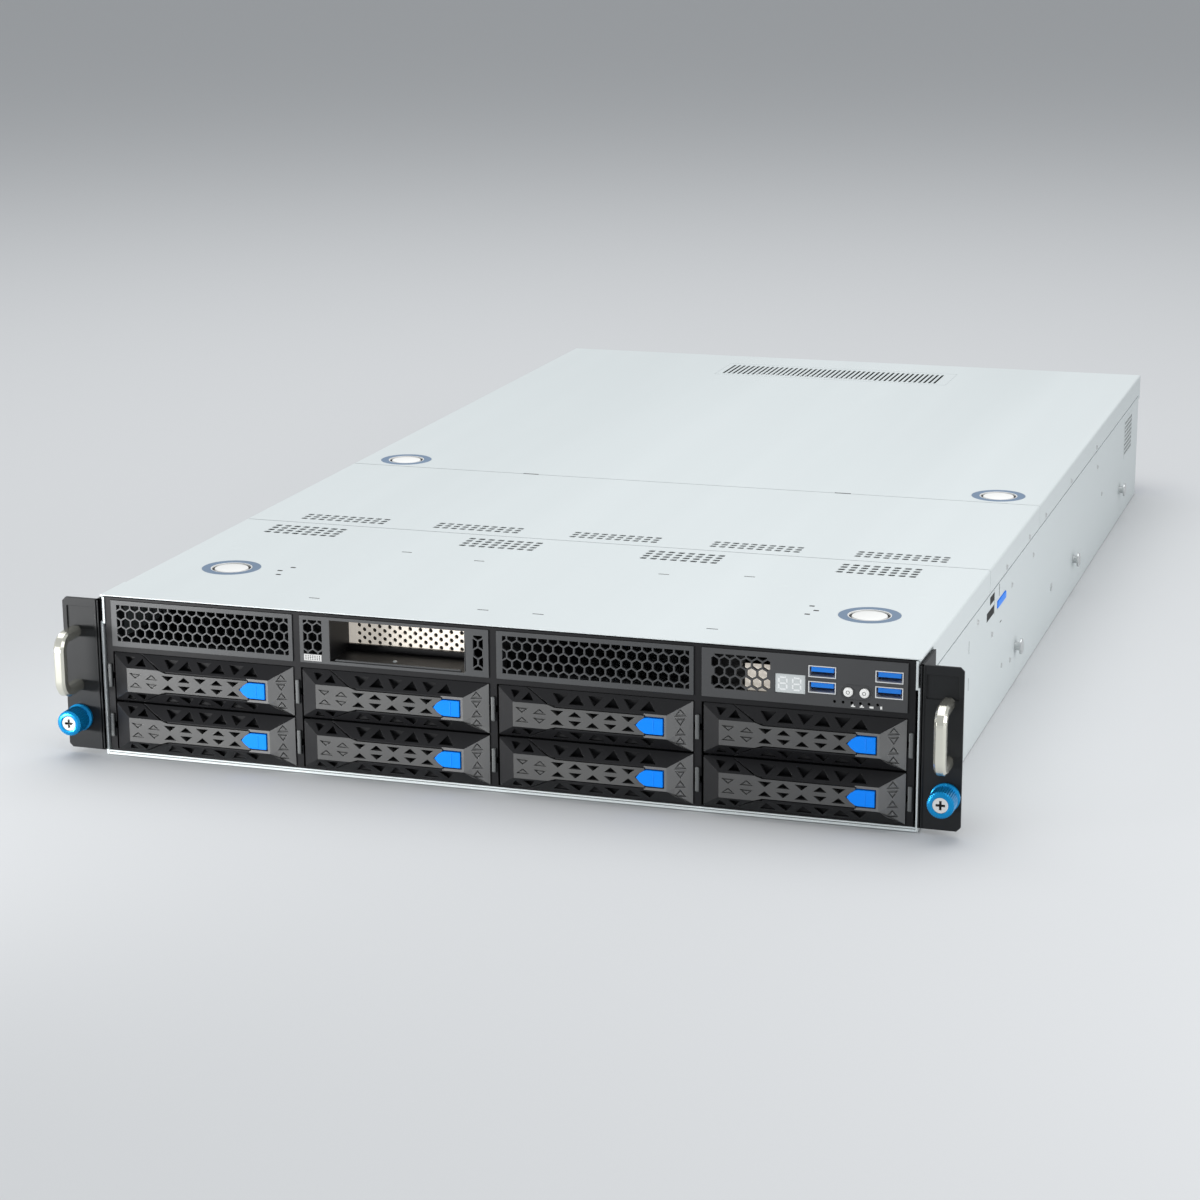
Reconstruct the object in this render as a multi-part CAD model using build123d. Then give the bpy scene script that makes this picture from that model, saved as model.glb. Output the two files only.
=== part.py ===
from build123d import *
import math
import os

# A two-unit rack server: sheet-steel case, three covers, eight disk carriers in four columns,
# a control panel and two vented blanks above them, fans, boards and two rear power supplies.
# Millimetres. X to the right seen from the front, Y from front to rear, Z up, bottom face at Z 0.
# The pieces are drawn with the front plane of the case at Y 0 and moved at the end, so that
# the origin is the middle of the whole part's footprint.

# Case
body_width = 440.0
body_height = 88.0
body_depth = 800.0
case_sheet = 1.2
cover_sheet = 1.0
rear_overhang = 7.0
cover_flange = 13.5
rear_flange = 4.0
rear_cheek = 17.0
seam_gap = 0.8
front_seam = 185.0
rear_seam = 348.0

# Clearances
slide_gap = 0.25
seat_gap = 0.2
joint_gap = 0.35
shaft_gap = 0.05
wall_gap = 0.1

# Front layout: four columns of two carriers with a module above each column
column_count = 4
row_count = 2
frame_edge = 4.2
post_width = 4.0
row_floor = 3.5
row_pitch = 27.4
carrier_height = 26.3
shelf_height = 3.0
shelf_seat = 1.0
module_height = 25.1
frame_face = 0.6
frame_thick = 9.0

# Drive cage, carriers and disks
divider_sheet = 1.2
carrier_depth = 10.0
ridge_height = 5.5
disk_width = 101.6
disk_height = 26.1
disk_length = 147.0
disk_front = 18.0
rail_sheet = 1.0
rail_height = 16.0
rib_height = 3.0
rib_reach = 0.8
ledge_height = 1.0
plug_depth = 7.0
plug_width = 44.0
plug_height = 8.0
board_sheet = 1.6

# Carrier front: hip-roofed face with a lever along its ridge and a catch at the lever's end
ridge_start = 10.3
ridge_end = 91.3
lever_wide = 13.0
lever_narrow = 10.2
lever_thick = 3.5
seam_start = 16.0
neck_start = 28.4
neck_end = 32.7
arm_end = 80.3
base_start = 79.0
base_height = 12.5
lever_inset = 1.2
truss_count = 5
truss_start = 33.9
truss_pitch = 9.35
truss_z = 2.45
truss_wide = 7.0
truss_tall = 2.8
pivot_x = 5.0
pivot_y = 2.6
pivot_radius = 1.25
knuckle_radius = 2.25
bore_side_count = 8
lug_sheet = 1.65
catch_tip = 75.3
catch_shoulder = 80.2
catch_end = 89.3
catch_height = 8.6
catch_proud = 0.4
catch_thick = 3.5
catch_travel = 1.5

# Honeycomb grilles
hex_pitch = 7.8
hex_web = 1.1
grille_sheet = 1.4
module_depth = 12.0
module_wall = 1.2
blank_border = 3.0

# Expansion bay in the second column
bay_vent_left = 15.0
bay_vent_right = 11.4
bay_border = 1.6
bay_depth = 27.0

# Control panel in the last column, measured from the module's lower left corner
panel_sheet = 2.0
panel_vent_x = 4.9
panel_vent_width = 30.0
panel_vent_z = 4.6
panel_vent_height = 17.8
display_x = 37.2
display_z = 5.0
display_width = 15.5
display_height = 9.9
display_depth = 6.0
display_recess = 0.4
socket_width = 13.8
socket_height = 5.9
socket_depth = 12.0
socket_wall = 0.5
socket_floor = 1.0
socket_proud = 0.3
tongue_recess = 2.0
tongue_rise = 0.7
tongue_thick = 1.8
tongue_share = 0.72
socket_columns = (54.2, 87.6)
socket_rows = (6.5, 14.4)
button_radius = 2.4
button_z = 8.3
button_columns = (74.2, 82.3)
button_proud = 1.2
button_collar = 1.0
button_side_count = 16

# Rack ears, pull handles and captive thumbscrews
ear_reach = 21.3
ear_bottom = 2.8
ear_top = 85.7
ear_sheet = 1.6
ear_return = 28.0
ear_corner = 2.0
handle_edge = 7.3
handle_low = 38.0
handle_high = 67.5
handle_bar = 6.0
handle_reach = 23.0
handle_bend = 6.0
screw_edge = 7.5
screw_z = 20.1
screw_shank = 2.9
screw_neck = 2.3
neck_side_count = 8
knob_radius = 6.9
knob_length = 12.0
knob_side_count = 16
hole_side_count = 10
collar_radius = 7.4
collar_length = 2.0
screw_tail = 12.0

# Rail studs on the sides
stud_count = 4
stud_first = 57.0
stud_last_gap = 95.0
stud_z = 21.6
stud_radius = 2.5
stud_head = 4.6
stud_neck = 3.0
stud_head_thick = 1.6

# Cover latches and side windows
latch_front = 209.0
latch_length = 26.0
latch_z = 62.0
latch_height = 4.0
latch_proud = 0.6
latch_plate = 1.6
latch_lip = 2.0

# Fans
fan_count = 5
fan_pitch = 83.0
fan_size = 80.0
fan_depth = 38.0
fan_front = 214.0
fan_bore = 38.0
fan_tip = 36.8
fan_hub = 17.0
fan_shaft = 2.0
fan_strut = 3.0
fan_side_count = 16
fan_blades = 5
blade_chord = 19.0
blade_thick = 1.6
blade_pitch = 38.0
rotor_length = 26.0
hub_plate = 5.0

# Boards and heat sinks
board_z = 7.0
board_front = 262.0
board_side_gap = 6.0
board_bay_gap = 8.55
board_rear_gap = 0.4
sink_width = 92.0
sink_length = 110.0
sink_headroom = 26.0
sink_base = 6.0
sink_fin = 1.4
sink_fins = 9
sink_front = 330.0
sink_x = (-128.0, 46.0)
memory_length = 133.0
memory_height = 31.0
memory_thick = 3.6
memory_pitch = 8.2
memory_per_bank = 5
memory_gap = 8.0
spacer_inset = 8.0
spacer_size = 6.0
riser_rear_gap = 203.0
riser_length = 150.0
riser_headroom = 20.0
riser_x = (-88.0, 36.0)
riser_slots = 3
riser_slot_first = 18.0
riser_slot_pitch = 20.0
riser_slot_thick = 7.0
riser_slot_deep = 9.0
riser_slot_inset = 15.0
riser_slot_length = 95.0

# Power supplies
supply_width = 73.5
supply_headroom = 8.4
supply_length = 185.0
supply_side_gap = 4.5
supply_handle_reach = 30.0
supply_handle_bar = 5.0
supply_handle_span = 27.0
supply_handle_inset = 24.0
supply_latch_width = 7.0
supply_latch_height = 22.0
supply_latch_reach = 12.0
inlet_width = 27.4
inlet_height = 20.2
inlet_depth = 16.0
inlet_inset = 8.0
inlet_pin = 2.0
inlet_pin_height = 5.0
inlet_pin_pitch = 7.0
inlet_pin_step = 6.0
supply_latch_inset = 6.0

# Rear panel: card slots in two groups and a row of sockets as centre X, width and height
slot_columns = (-150.0, -28.0)
slot_count = 3
slot_first = 34.0
slot_pitch = 20.32
slot_opening = 100.0
slot_opening_height = 12.0
blade_overlap = 2.0
rear_socket_z = 14.5
rear_sockets = (
    (-190.0, 16.0, 13.0),
    (-168.0, 16.0, 13.0),
    (-140.0, 31.0, 11.0),
    (-108.0, 13.8, 5.9),
    (-90.0, 13.8, 5.9),
    (50.0, 16.0, 13.0),
    (72.0, 16.0, 13.0),
)

# Vents in the side walls
side_vent_slots = 7
side_vent_rear_gap = 71.0
side_vent_pitch = 5.4
side_vent_slot = 2.8
side_vent_low = 42.0
side_vent_high = 68.0

# Covers
dimple_radius = 12.5
dimple_depth = 0.5
dimple_side_count = 18
front_dimple_x = 178.0
front_dimple_y = 74.0
rear_dimple_x = 191.5
rear_dimple_y = 368.0
bridge_vents = 5
bridge_vent_middle = 2.3
bridge_vent_pitch = 82.9
bridge_vent_width = 53.5
bridge_vent_front = 193.0
bridge_vent_slots = 8
bridge_vent_length = 15.0
cover_vent_x = (-174.3, -54.7, 51.8, 162.5)
cover_vent_width = 46.0
cover_vent_front = 156.0
cover_vent_slots = 7
cover_vent_length = 22.0
slot_width = 4.4
rear_vent_width = 163.0
rear_vent_rear_gap = 68.0
rear_vent_length = 37.0
rear_vent_slots = 14
rear_vent_slot = 7.4

# Values worked out from those above
half_width = body_width / 2
ear_edge = half_width + ear_reach
handle_x = ear_edge - handle_edge
screw_x = ear_edge - screw_edge
stud_spacing = (body_depth - stud_first - stud_last_gap) / (stud_count - 1)
supply_height = (body_height - supply_headroom) / 2
supply_right = half_width - supply_side_gap
bay_wall = supply_right - supply_width - slide_gap - case_sheet
board_left = board_side_gap - half_width
board_right = bay_wall - board_bay_gap
riser_height = body_height - riser_headroom
sink_height = body_height - sink_headroom
case_rear = body_depth - rear_overhang
side_vent_front = case_rear - side_vent_rear_gap
rear_vent_front = case_rear - rear_vent_rear_gap
riser_front = case_rear - riser_rear_gap
case_top = body_height - cover_sheet - seat_gap
board_rear = case_rear - socket_depth - board_rear_gap
jog_z = body_height - cover_flange - cover_sheet
cover_inner = half_width - cover_sheet
upper_outer = cover_inner - slide_gap
upper_inner = upper_outer - case_sheet
lower_inner = half_width - case_sheet
column_pitch = (body_width - 2 * frame_edge) / column_count
module_width = column_pitch - post_width - 2 * wall_gap
carrier_width = column_pitch - post_width - 2 * seat_gap
shelf_z = row_floor + row_pitch * row_count - shelf_seat
module_z = shelf_z + shelf_height
disk_rear = disk_front + disk_length
cage_rear = disk_rear + plug_depth
divider_face = (column_pitch - divider_sheet) / 2
rail_inner = disk_width / 2 + wall_gap
rail_outer = rail_inner + rail_sheet
handle_front = -handle_reach
supply_front = case_rear - supply_length
supply_rear = case_rear + supply_handle_reach
y_middle = (handle_front + supply_rear) / 2
opening_half = (column_pitch - post_width) / 2
column_centres = [(i - (column_count - 1) / 2) * column_pitch for i in range(column_count)]
row_centres = [row_floor + carrier_height / 2 + i * row_pitch for i in range(row_count)]


def block(x0, x1, y0, y1, z0, z1):
    """A box between two corners."""
    return Pos((x0 + x1) / 2, (y0 + y1) / 2, (z0 + z1) / 2) * Box(x1 - x0, y1 - y0, z1 - z0)


def front_plane(y):
    """A plane facing the front at depth y, with its axes along X and Z."""
    return Plane((0, y, 0), x_dir=(1, 0, 0), z_dir=(0, -1, 0))


def front_slab(sketch, y0, y1):
    """A front-view outline given thickness from y0 back to y1."""
    return extrude(front_plane(y1) * sketch, amount=y1 - y0)


def top_slab(sketch, z0, z1):
    """A plan-view outline given thickness from z0 up to z1."""
    return extrude(Pos(0, 0, z0) * sketch, amount=z1 - z0)


def both_sides(shape):
    """The shape and its mirror image across the middle of the case, as one group."""
    return shape + mirror(shape, about=Plane.YZ)


def rod_y(x, z, radius, y0, y1):
    """A round bar along Y."""
    return Pos(x, (y0 + y1) / 2, z) * Rot(90, 0, 0) * Cylinder(radius, y1 - y0)


def rod_x(y, z, radius, x0, x1):
    """A round bar along X."""
    return Pos((x0 + x1) / 2, y, z) * Rot(0, 90, 0) * Cylinder(radius, x1 - x0)


def honeycomb(width, height):
    """Pointy-top hexagonal holes in a centred window; its edges cut the outer ones."""
    radius = (hex_pitch - hex_web) / math.sqrt(3)
    row_step = hex_pitch * math.sqrt(3) / 2
    rows = math.ceil(height / 2 / row_step)
    columns = math.ceil(width / 2 / hex_pitch)
    cells = []
    for row in range(-rows, rows + 1):
        offset = hex_pitch / 2 if row % 2 else 0
        for column in range(-columns - 1, columns + 1):
            x = column * hex_pitch + offset
            z = row * row_step
            if abs(x) < width / 2 + radius / 2 and abs(z) < height / 2 + radius / 2:
                cells.append(Pos(x, z) * RegularPolygon(radius, 6, rotation=30))
    return (Sketch() + cells) & Rectangle(width, height)


def vent_slots(x, width, slots, front, length, slot):
    """A vent of slots that run from front to rear, in plan, centred on x."""
    first = x - width / 2 + width / slots / 2
    middle = front + length / 2
    return [Pos(first + i * width / slots, middle) * Rectangle(slot, length) for i in range(slots)]


# Case bottom: floor and two side walls with a jog that lets the covers lie flush
def chassis_base():
    wall = block(lower_inner, half_width, 0, case_rear, 0, jog_z)
    wall += block(upper_inner, half_width, 0, case_rear, jog_z - case_sheet, jog_z)
    wall += block(upper_inner, upper_outer, 0, case_rear, jog_z - case_sheet, case_top)
    window = block(
        upper_inner - 1, half_width + 1,
        latch_front - joint_gap, latch_front + latch_length + joint_gap,
        latch_z - latch_height / 2 - joint_gap, latch_z + latch_height / 2 + joint_gap,
    )
    wall -= window
    for i in range(side_vent_slots):
        y = side_vent_front + i * side_vent_pitch
        wall -= block(lower_inner - 1, half_width + 1, y, y + side_vent_slot,
                      side_vent_low, side_vent_high)
    shape = both_sides(wall) + block(-half_width, half_width, 0, case_rear, 0, case_sheet)
    bay_right = lower_inner
    shape += block(bay_wall, bay_wall + case_sheet, supply_front, case_rear - case_sheet, 0, case_top - 3)
    shelf = supply_shelf_z()
    shape += block(bay_wall, bay_right, supply_front, case_rear - case_sheet, shelf, shelf + case_sheet)
    return shape


def supply_shelf_z():
    """Underside of the shelf between the two power supplies."""
    return case_sheet + supply_height + 2 * slide_gap


def supply_floor(level):
    """Bottom of a power supply, on the case floor or on the shelf."""
    shelf = supply_shelf_z() if level else 0
    return shelf + case_sheet + slide_gap


# Black front frame and cage of the carriers: posts, shelf, dividers and runner ledges
def drive_cage():
    outer = upper_inner - wall_gap
    face = Pos(0, (case_sheet + case_top) / 2) * Rectangle(2 * outer, case_top - case_sheet)
    opening_bottom = row_floor - seat_gap
    for x in column_centres:
        low = Pos(x, (opening_bottom + shelf_z) / 2)
        face -= low * Rectangle(2 * opening_half, shelf_z - opening_bottom)
        high = Pos(x, module_z + module_height / 2)
        face -= high * Rectangle(2 * opening_half, module_height + 2 * wall_gap)
        notch = Rectangle(2 * (opening_half + rib_reach + slide_gap), rib_height + 2 * slide_gap)
        for z in row_centres:
            face -= Pos(x, z) * notch
    shape = front_slab(face, frame_face, frame_face + frame_thick)
    shelf_mid = shelf_z + shelf_height / 2
    shape += block(-outer, outer, frame_face, cage_rear,
                   shelf_mid - divider_sheet / 2, shelf_mid + divider_sheet / 2)
    for i in range(column_count + 1):
        x = (i - column_count / 2) * column_pitch
        half = divider_sheet / 2
        shape += block(x - half, x + half, frame_face, cage_rear, case_sheet, shelf_mid)
    depth = divider_face - rail_outer - slide_gap
    for x in column_centres:
        for side in (-1, 1):
            inner = x + side * (divider_face - depth)
            face_x = x + side * divider_face
            low_x, high_x = sorted((inner, face_x))
            for z in row_centres:
                for gap_side in (-1, 1):
                    near = z + gap_side * (rib_height / 2 + wall_gap)
                    far = near + gap_side * ledge_height
                    low_z, high_z = sorted((near, far))
                    shape += block(low_x, high_x, carrier_depth + 4, cage_rear, low_z, high_z)
    return shape


# Backplane: a board across the rear of the cage with a plug for each disk
def drive_backplane():
    shape = block(-divider_face - 1.5 * column_pitch, divider_face + 1.5 * column_pitch,
                  cage_rear, cage_rear + board_sheet, case_sheet + 1, shelf_z)
    for x in column_centres:
        for z in row_centres:
            shape += block(x - plug_width / 2, x + plug_width / 2, disk_rear + slide_gap, cage_rear,
                           z - plug_height / 2, z + plug_height / 2)
    return shape


def roof(rim_start, rim_end, top_start, top_end, top_height):
    """The raised face of a carrier: a rim rectangle drawn in by flat slopes to a ridge in front of it."""
    half = carrier_height / 2
    plan = make_face(Polyline([(rim_start, 0), (top_start, -ridge_height),
                               (top_end, -ridge_height), (rim_end, 0)], close=True))
    side = make_face(Polyline([(0, -half), (-ridge_height, -top_height / 2),
                               (-ridge_height, top_height / 2), (0, half)], close=True))
    across = Plane((rim_start, 0, 0), x_dir=(0, 1, 0), z_dir=(1, 0, 0))
    return extrude(Pos(0, 0, -half) * plan, amount=carrier_height) & extrude(
        across * side, amount=rim_end - rim_start)


def lever_outline(grow):
    """Front view of the lever's wide left end, from the seam to the neck of its arm."""
    half = carrier_height / 2
    left = -1 if grow else lever_inset
    points = [(left, half + 1), (seam_start + grow, half + 1)] if grow else [(left, half)]
    points += [
        (seam_start + grow, half),
        (neck_start + grow, lever_wide / 2 + grow),
        (neck_end + grow, lever_narrow / 2 + grow),
    ]
    lower = [(x, -z) for x, z in reversed(points)]
    return make_face(Polyline(points + lower, close=True))


def triangle(x, z, up):
    """A triangular hole of the lever's truss with its point up or down."""
    tip = truss_tall / 2 if up else -truss_tall / 2
    half = truss_wide / 2
    return make_face(Polyline([(x, z + tip), (x - half, z - tip), (x + half, z - tip)], close=True))


def arm_triangles():
    """Two rows of triangular holes along the lever's arm, points alternating."""
    holes = []
    for i in range(truss_count):
        x = truss_start + truss_pitch * i
        holes.append(triangle(x, truss_z, i % 2 == 1))
        holes.append(triangle(x, -truss_z, i % 2 == 0))
    return holes


def catch_outline(grow):
    """Front view of the release catch: a pentagon that points at the lever's arm."""
    half = catch_height / 2 + grow
    return make_face(Polyline([
        (catch_tip - grow, 0),
        (catch_shoulder - grow, half),
        (catch_end + grow, half),
        (catch_end + grow, -half),
        (catch_shoulder - grow, -half),
    ], close=True))


def carrier_shell():
    """The moulded front of a carrier with its two side rails, at X 0 from its left edge."""
    half = carrier_height / 2
    arm_ridge = lever_narrow + 2 * joint_gap
    shape = roof(0, carrier_width, ridge_start, ridge_end, arm_ridge)
    shape += roof(base_start - 2, carrier_width, base_start, ridge_end, base_height)
    shape -= front_slab(lever_outline(joint_gap), -ridge_height - 1, 0)
    arm_back = lever_thick - ridge_height + joint_gap
    shape -= block(neck_start, arm_end + joint_gap, -ridge_height - 1, arm_back,
                   -arm_ridge / 2, arm_ridge / 2)
    catch_floor = catch_thick - ridge_height - catch_proud + catch_travel + slide_gap
    shape -= front_slab(catch_outline(joint_gap), -ridge_height - 1, catch_floor)
    body = block(0, carrier_width, 0, carrier_depth, -half, half)
    tip_proud = ridge_height * lever_inset / ridge_start
    swing = math.hypot(pivot_x - lever_inset, pivot_y + tip_proud) + joint_gap
    body -= block(-1, pivot_x + knuckle_radius + joint_gap, -1, pivot_y + swing, -half - 1, half + 1)
    body -= block(-1, seam_start + joint_gap, -1, joint_gap, -half - 1, half + 1)
    shape += body
    corner = knuckle_radius / 2
    lug = make_face(Polyline([
        (pivot_x - knuckle_radius, carrier_depth),
        (pivot_x - knuckle_radius, pivot_y - corner),
        (pivot_x - corner, pivot_y - knuckle_radius),
        (pivot_x + corner, pivot_y - knuckle_radius),
        (pivot_x + knuckle_radius, pivot_y - corner),
        (pivot_x + knuckle_radius, carrier_depth),
    ], close=True))
    for z in (-half, half - lug_sheet):
        shape += top_slab(lug, z, z + lug_sheet)
    shape += Pos(pivot_x, pivot_y, 0) * Cylinder(pivot_radius, carrier_height - lug_sheet)
    middle = carrier_width / 2
    for side in (-1, 1):
        low_x, high_x = sorted((middle + side * rail_inner, middle + side * rail_outer))
        shape += block(low_x, high_x, carrier_depth - 1, disk_rear, -rail_height / 2, rail_height / 2)
        rib_x = middle + side * (opening_half + rib_reach)
        low_x, high_x = sorted((middle + side * rail_outer, rib_x))
        shape += block(low_x, high_x, carrier_depth + 6, disk_rear, -rib_height / 2, rib_height / 2)
    return shape


def disk():
    """The disk drive held between a carrier's rails."""
    middle = carrier_width / 2
    half = disk_height / 2
    body = block(middle - disk_width / 2, middle + disk_width / 2, disk_front, disk_rear, -half, half)
    return body


def lever():
    """The lever: hip-roofed left end on a vertical pivot, with a pierced arm along the ridge."""
    face = roof(0, carrier_width, ridge_start, ridge_end, lever_wide)
    shape = face & front_slab(lever_outline(0), -ridge_height - 1, 0)
    back = lever_thick - ridge_height
    arm = Pos((neck_start + arm_end) / 2, 0) * Rectangle(arm_end - neck_start, lever_narrow)
    arm -= catch_outline(joint_gap)
    arm = Sketch() + arm - arm_triangles()
    shape += front_slab(arm, -ridge_height, back)
    knuckle = carrier_height - 2 * lug_sheet - 2 * slide_gap
    corner = knuckle_radius / 2
    barrel = make_face(Polyline([
        (pivot_x - knuckle_radius, -lever_inset),
        (pivot_x - knuckle_radius, pivot_y + corner),
        (pivot_x - corner, pivot_y + knuckle_radius),
        (pivot_x + corner, pivot_y + knuckle_radius),
        (pivot_x + knuckle_radius, pivot_y + corner),
        (pivot_x + knuckle_radius, -lever_inset),
    ], close=True))
    shape += top_slab(barrel, -knuckle / 2, knuckle / 2)
    bore = Pos(pivot_x, pivot_y) * RegularPolygon(pivot_radius + shaft_gap, bore_side_count, major_radius=False)
    return shape - top_slab(bore, -knuckle, knuckle)


def release():
    """The push-in release catch at the end of the lever."""
    front = -ridge_height - catch_proud
    return front_slab(catch_outline(0), front, front + catch_thick)


# Vented blank that closes an empty upper bay
def bay_blank():
    sketch = Rectangle(module_width, module_height)
    sketch -= honeycomb(module_width - 2 * blank_border, module_height - 2 * blank_border)
    shape = front_slab(sketch, 0, grille_sheet)
    rim = Rectangle(module_width, module_height)
    rim -= Rectangle(module_width - 2 * module_wall, module_height - 2 * module_wall)
    return shape + front_slab(rim, grille_sheet, module_depth)


# Bezel of the second column: an open bay between two narrow vents
def expansion_bay():
    left = -module_width / 2
    right = module_width / 2
    bay_left = left + bay_vent_left
    bay_right = right - bay_vent_right
    bay_middle = (bay_left + bay_right) / 2
    bay_width = bay_right - bay_left - 2 * bay_border
    bay_height = module_height - 2 * bay_border
    sketch = Rectangle(module_width, module_height)
    sketch -= Pos(bay_middle, 0) * Rectangle(bay_width, bay_height)
    vent_height = module_height - 2 * bay_border
    for low, high in ((left, bay_left), (bay_right, right)):
        vent = honeycomb(high - low - 2 * module_wall, vent_height)
        sketch -= Pos((low + high) / 2, 0) * vent
    shape = front_slab(sketch, 0, grille_sheet)
    tunnel = Rectangle(bay_width + 2 * module_wall, bay_height + 2 * module_wall)
    tunnel -= Rectangle(bay_width, bay_height)
    shape += front_slab(Pos(bay_middle, 0) * tunnel, grille_sheet, bay_depth)
    return shape, bay_middle, bay_width, bay_height


def perforated_plate(middle, width, height):
    """The plate that closes the bay at its rear, inside the tunnel."""
    plate = Pos(middle, 0) * Rectangle(width, height)
    return front_slab(plate, bay_depth - 1.0, bay_depth)


def panel_places():
    """Centres of the sockets and buttons, from the module's lower left corner."""
    sockets = [(x + socket_width / 2, z + socket_height / 2)
               for x in socket_columns for z in socket_rows]
    buttons = [(x, button_z) for x in button_columns]
    return sockets, buttons


# Control panel: vented bezel with a digit window, four sockets and two round buttons
def control_panel():
    sockets, buttons = panel_places()
    sketch = Pos(module_width / 2, module_height / 2) * Rectangle(module_width, module_height)
    vent = honeycomb(panel_vent_width, panel_vent_height)
    sketch -= Pos(panel_vent_x + panel_vent_width / 2, panel_vent_z + panel_vent_height / 2) * vent
    sketch -= Pos(display_x + display_width / 2, display_z + display_height / 2) * Rectangle(
        display_width + 2 * wall_gap, display_height + 2 * wall_gap)
    for x, z in sockets:
        sketch -= Pos(x, z) * Rectangle(socket_width + 2 * wall_gap, socket_height + 2 * wall_gap)
    for x, z in buttons:
        sketch -= Pos(x, z) * RegularPolygon(button_radius + joint_gap, button_side_count)
    shape = front_slab(sketch, 0, panel_sheet)
    middle = Pos(module_width / 2, module_height / 2)
    rim = middle * Rectangle(module_width, module_height)
    rim -= middle * Rectangle(module_width - 2 * module_wall, module_height - 2 * module_wall)
    return shape + front_slab(rim, panel_sheet, module_depth)


def digit_display():
    """The display block behind its window."""
    block_face = Pos(display_x + display_width / 2, display_z + display_height / 2) * Rectangle(
        display_width, display_height)
    return front_slab(block_face, display_recess, display_depth)


def socket(x, z, width, height, y0, y1, mouth):
    """A folded metal socket with its contact tongue; mouth is 1 for the front, -1 for the rear."""
    outer = Pos(x, z) * Rectangle(width, height)
    inner = Pos(x, z) * Rectangle(width - 2 * socket_wall, height - 2 * socket_wall)
    shell = front_slab(outer - inner, y0, y1)
    floor_y = (y1 - socket_floor, y1) if mouth == 1 else (y0, y0 + socket_floor)
    shell += front_slab(outer, *floor_y)
    tongue_y = (y0 + tongue_recess, y1) if mouth == 1 else (y0, y1 - tongue_recess)
    tongue = Pos(x, z + tongue_rise) * Rectangle(width * tongue_share, tongue_thick)
    return shell + front_slab(tongue, *tongue_y)


def round_button(x, z):
    """A push button kept behind the panel by its collar."""
    back = panel_sheet + slide_gap
    stem = Pos(x, z) * RegularPolygon(button_radius, button_side_count)
    collar = Pos(x, z) * Rectangle(2 * (button_radius + button_collar), 2 * (button_radius + button_collar))
    return front_slab(stem, -button_proud, back) + front_slab(collar, back, back + button_collar)


# Rack ear: front plate and a return along the side of the case
def rack_ear():
    height = ear_top - ear_bottom
    plate = Pos(half_width + ear_reach / 2, (ear_bottom + ear_top) / 2) * Rectangle(ear_reach, height)
    outer = plate.vertices().sort_by(Axis.X)[-2:]
    plate = chamfer(outer, ear_corner)
    plate -= Pos(screw_x, screw_z) * RegularPolygon(screw_shank + slide_gap, hole_side_count, major_radius=False)
    shape = front_slab(plate, -ear_sheet, 0)
    shape += block(half_width, half_width + ear_sheet, -ear_sheet, ear_return, ear_bottom, ear_top)
    return shape


# Pull handle: a bent bar with its feet on the ear
def pull_handle():
    inset = handle_reach - handle_bar / 2
    path = Polyline(
        (handle_x, -ear_sheet, handle_low),
        (handle_x, handle_bend - inset, handle_low),
        (handle_x, -inset, handle_low + handle_bend),
        (handle_x, -inset, handle_high - handle_bend),
        (handle_x, handle_bend - inset, handle_high),
        (handle_x, -ear_sheet, handle_high))
    corner = handle_bar * 0.25
    half = handle_bar / 2
    start = Plane((handle_x, -ear_sheet, handle_low), x_dir=(1, 0, 0), z_dir=(0, -1, 0))
    points = [(half, half - corner), (half - corner, half), (corner - half, half),
              (-half, half - corner), (-half, corner - half), (corner - half, -half),
              (half - corner, -half), (half, corner - half)]
    profile = start * make_face(Polyline(points, close=True))
    return sweep(profile, path=path, transition=Transition.RIGHT)


# Captive thumbscrew: knob, collar, a neck through the ear and the thread behind it
def thumbscrew(side):
    x = side * screw_x
    back = -ear_sheet - slide_gap
    knob = Pos(x, screw_z) * RegularPolygon(knob_radius, knob_side_count)
    shape = front_slab(knob, back - collar_length - knob_length, back - collar_length)
    collar = Pos(x, screw_z) * RegularPolygon(collar_radius, knob_side_count)
    shape += front_slab(collar, back - collar_length, back)
    neck = Pos(x, screw_z) * RegularPolygon(screw_neck, neck_side_count)
    shape += front_slab(neck, back, slide_gap)
    return shape + rod_y(x, screw_z, screw_shank, slide_gap, screw_tail)


# Shouldered studs that hang the case on its slide rails
def rail_stud(y):
    side = Plane((half_width, y, stud_z), x_dir=(0, 1, 0), z_dir=(1, 0, 0))
    neck = extrude(side * RegularPolygon(stud_radius, neck_side_count), amount=stud_neck)
    shoulder = half_width + stud_neck
    return neck + rod_x(y, stud_z, stud_head, shoulder, shoulder + stud_head_thick)


# Sprung latch that locks the front cover, pressed in through the side wall
def cover_latch():
    y0 = latch_front
    y1 = latch_front + latch_length
    half = latch_height / 2
    shape = block(lower_inner - slide_gap, half_width + latch_proud, y0, y1, latch_z - half, latch_z + half)
    inner = lower_inner - slide_gap
    shape += block(inner - latch_plate, inner, y0 - latch_lip, y1 + latch_lip,
                   latch_z - half - latch_lip, latch_z + half + latch_lip)
    return shape


# Fan frame: square duct with a rear hub plate on four struts
def fan_frame():
    y0 = fan_front
    y1 = fan_front + fan_depth
    z = case_sheet + fan_size / 2
    duct = Pos(0, z) * Rectangle(fan_size, fan_size) - Pos(0, z) * RegularPolygon(fan_bore, fan_side_count)
    shape = front_slab(duct, y0, y1)
    struts = Rectangle(2 * fan_bore + 1, fan_strut) + Rectangle(fan_strut, 2 * fan_bore + 1)
    hub = RegularPolygon(fan_hub, 2 * fan_blades)
    bearing = RegularPolygon(fan_shaft + shaft_gap, bore_side_count, major_radius=False)
    struts = Pos(0, z) * (struts + hub - bearing)
    return shape + front_slab(struts, y1 - hub_plate, y1)


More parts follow.
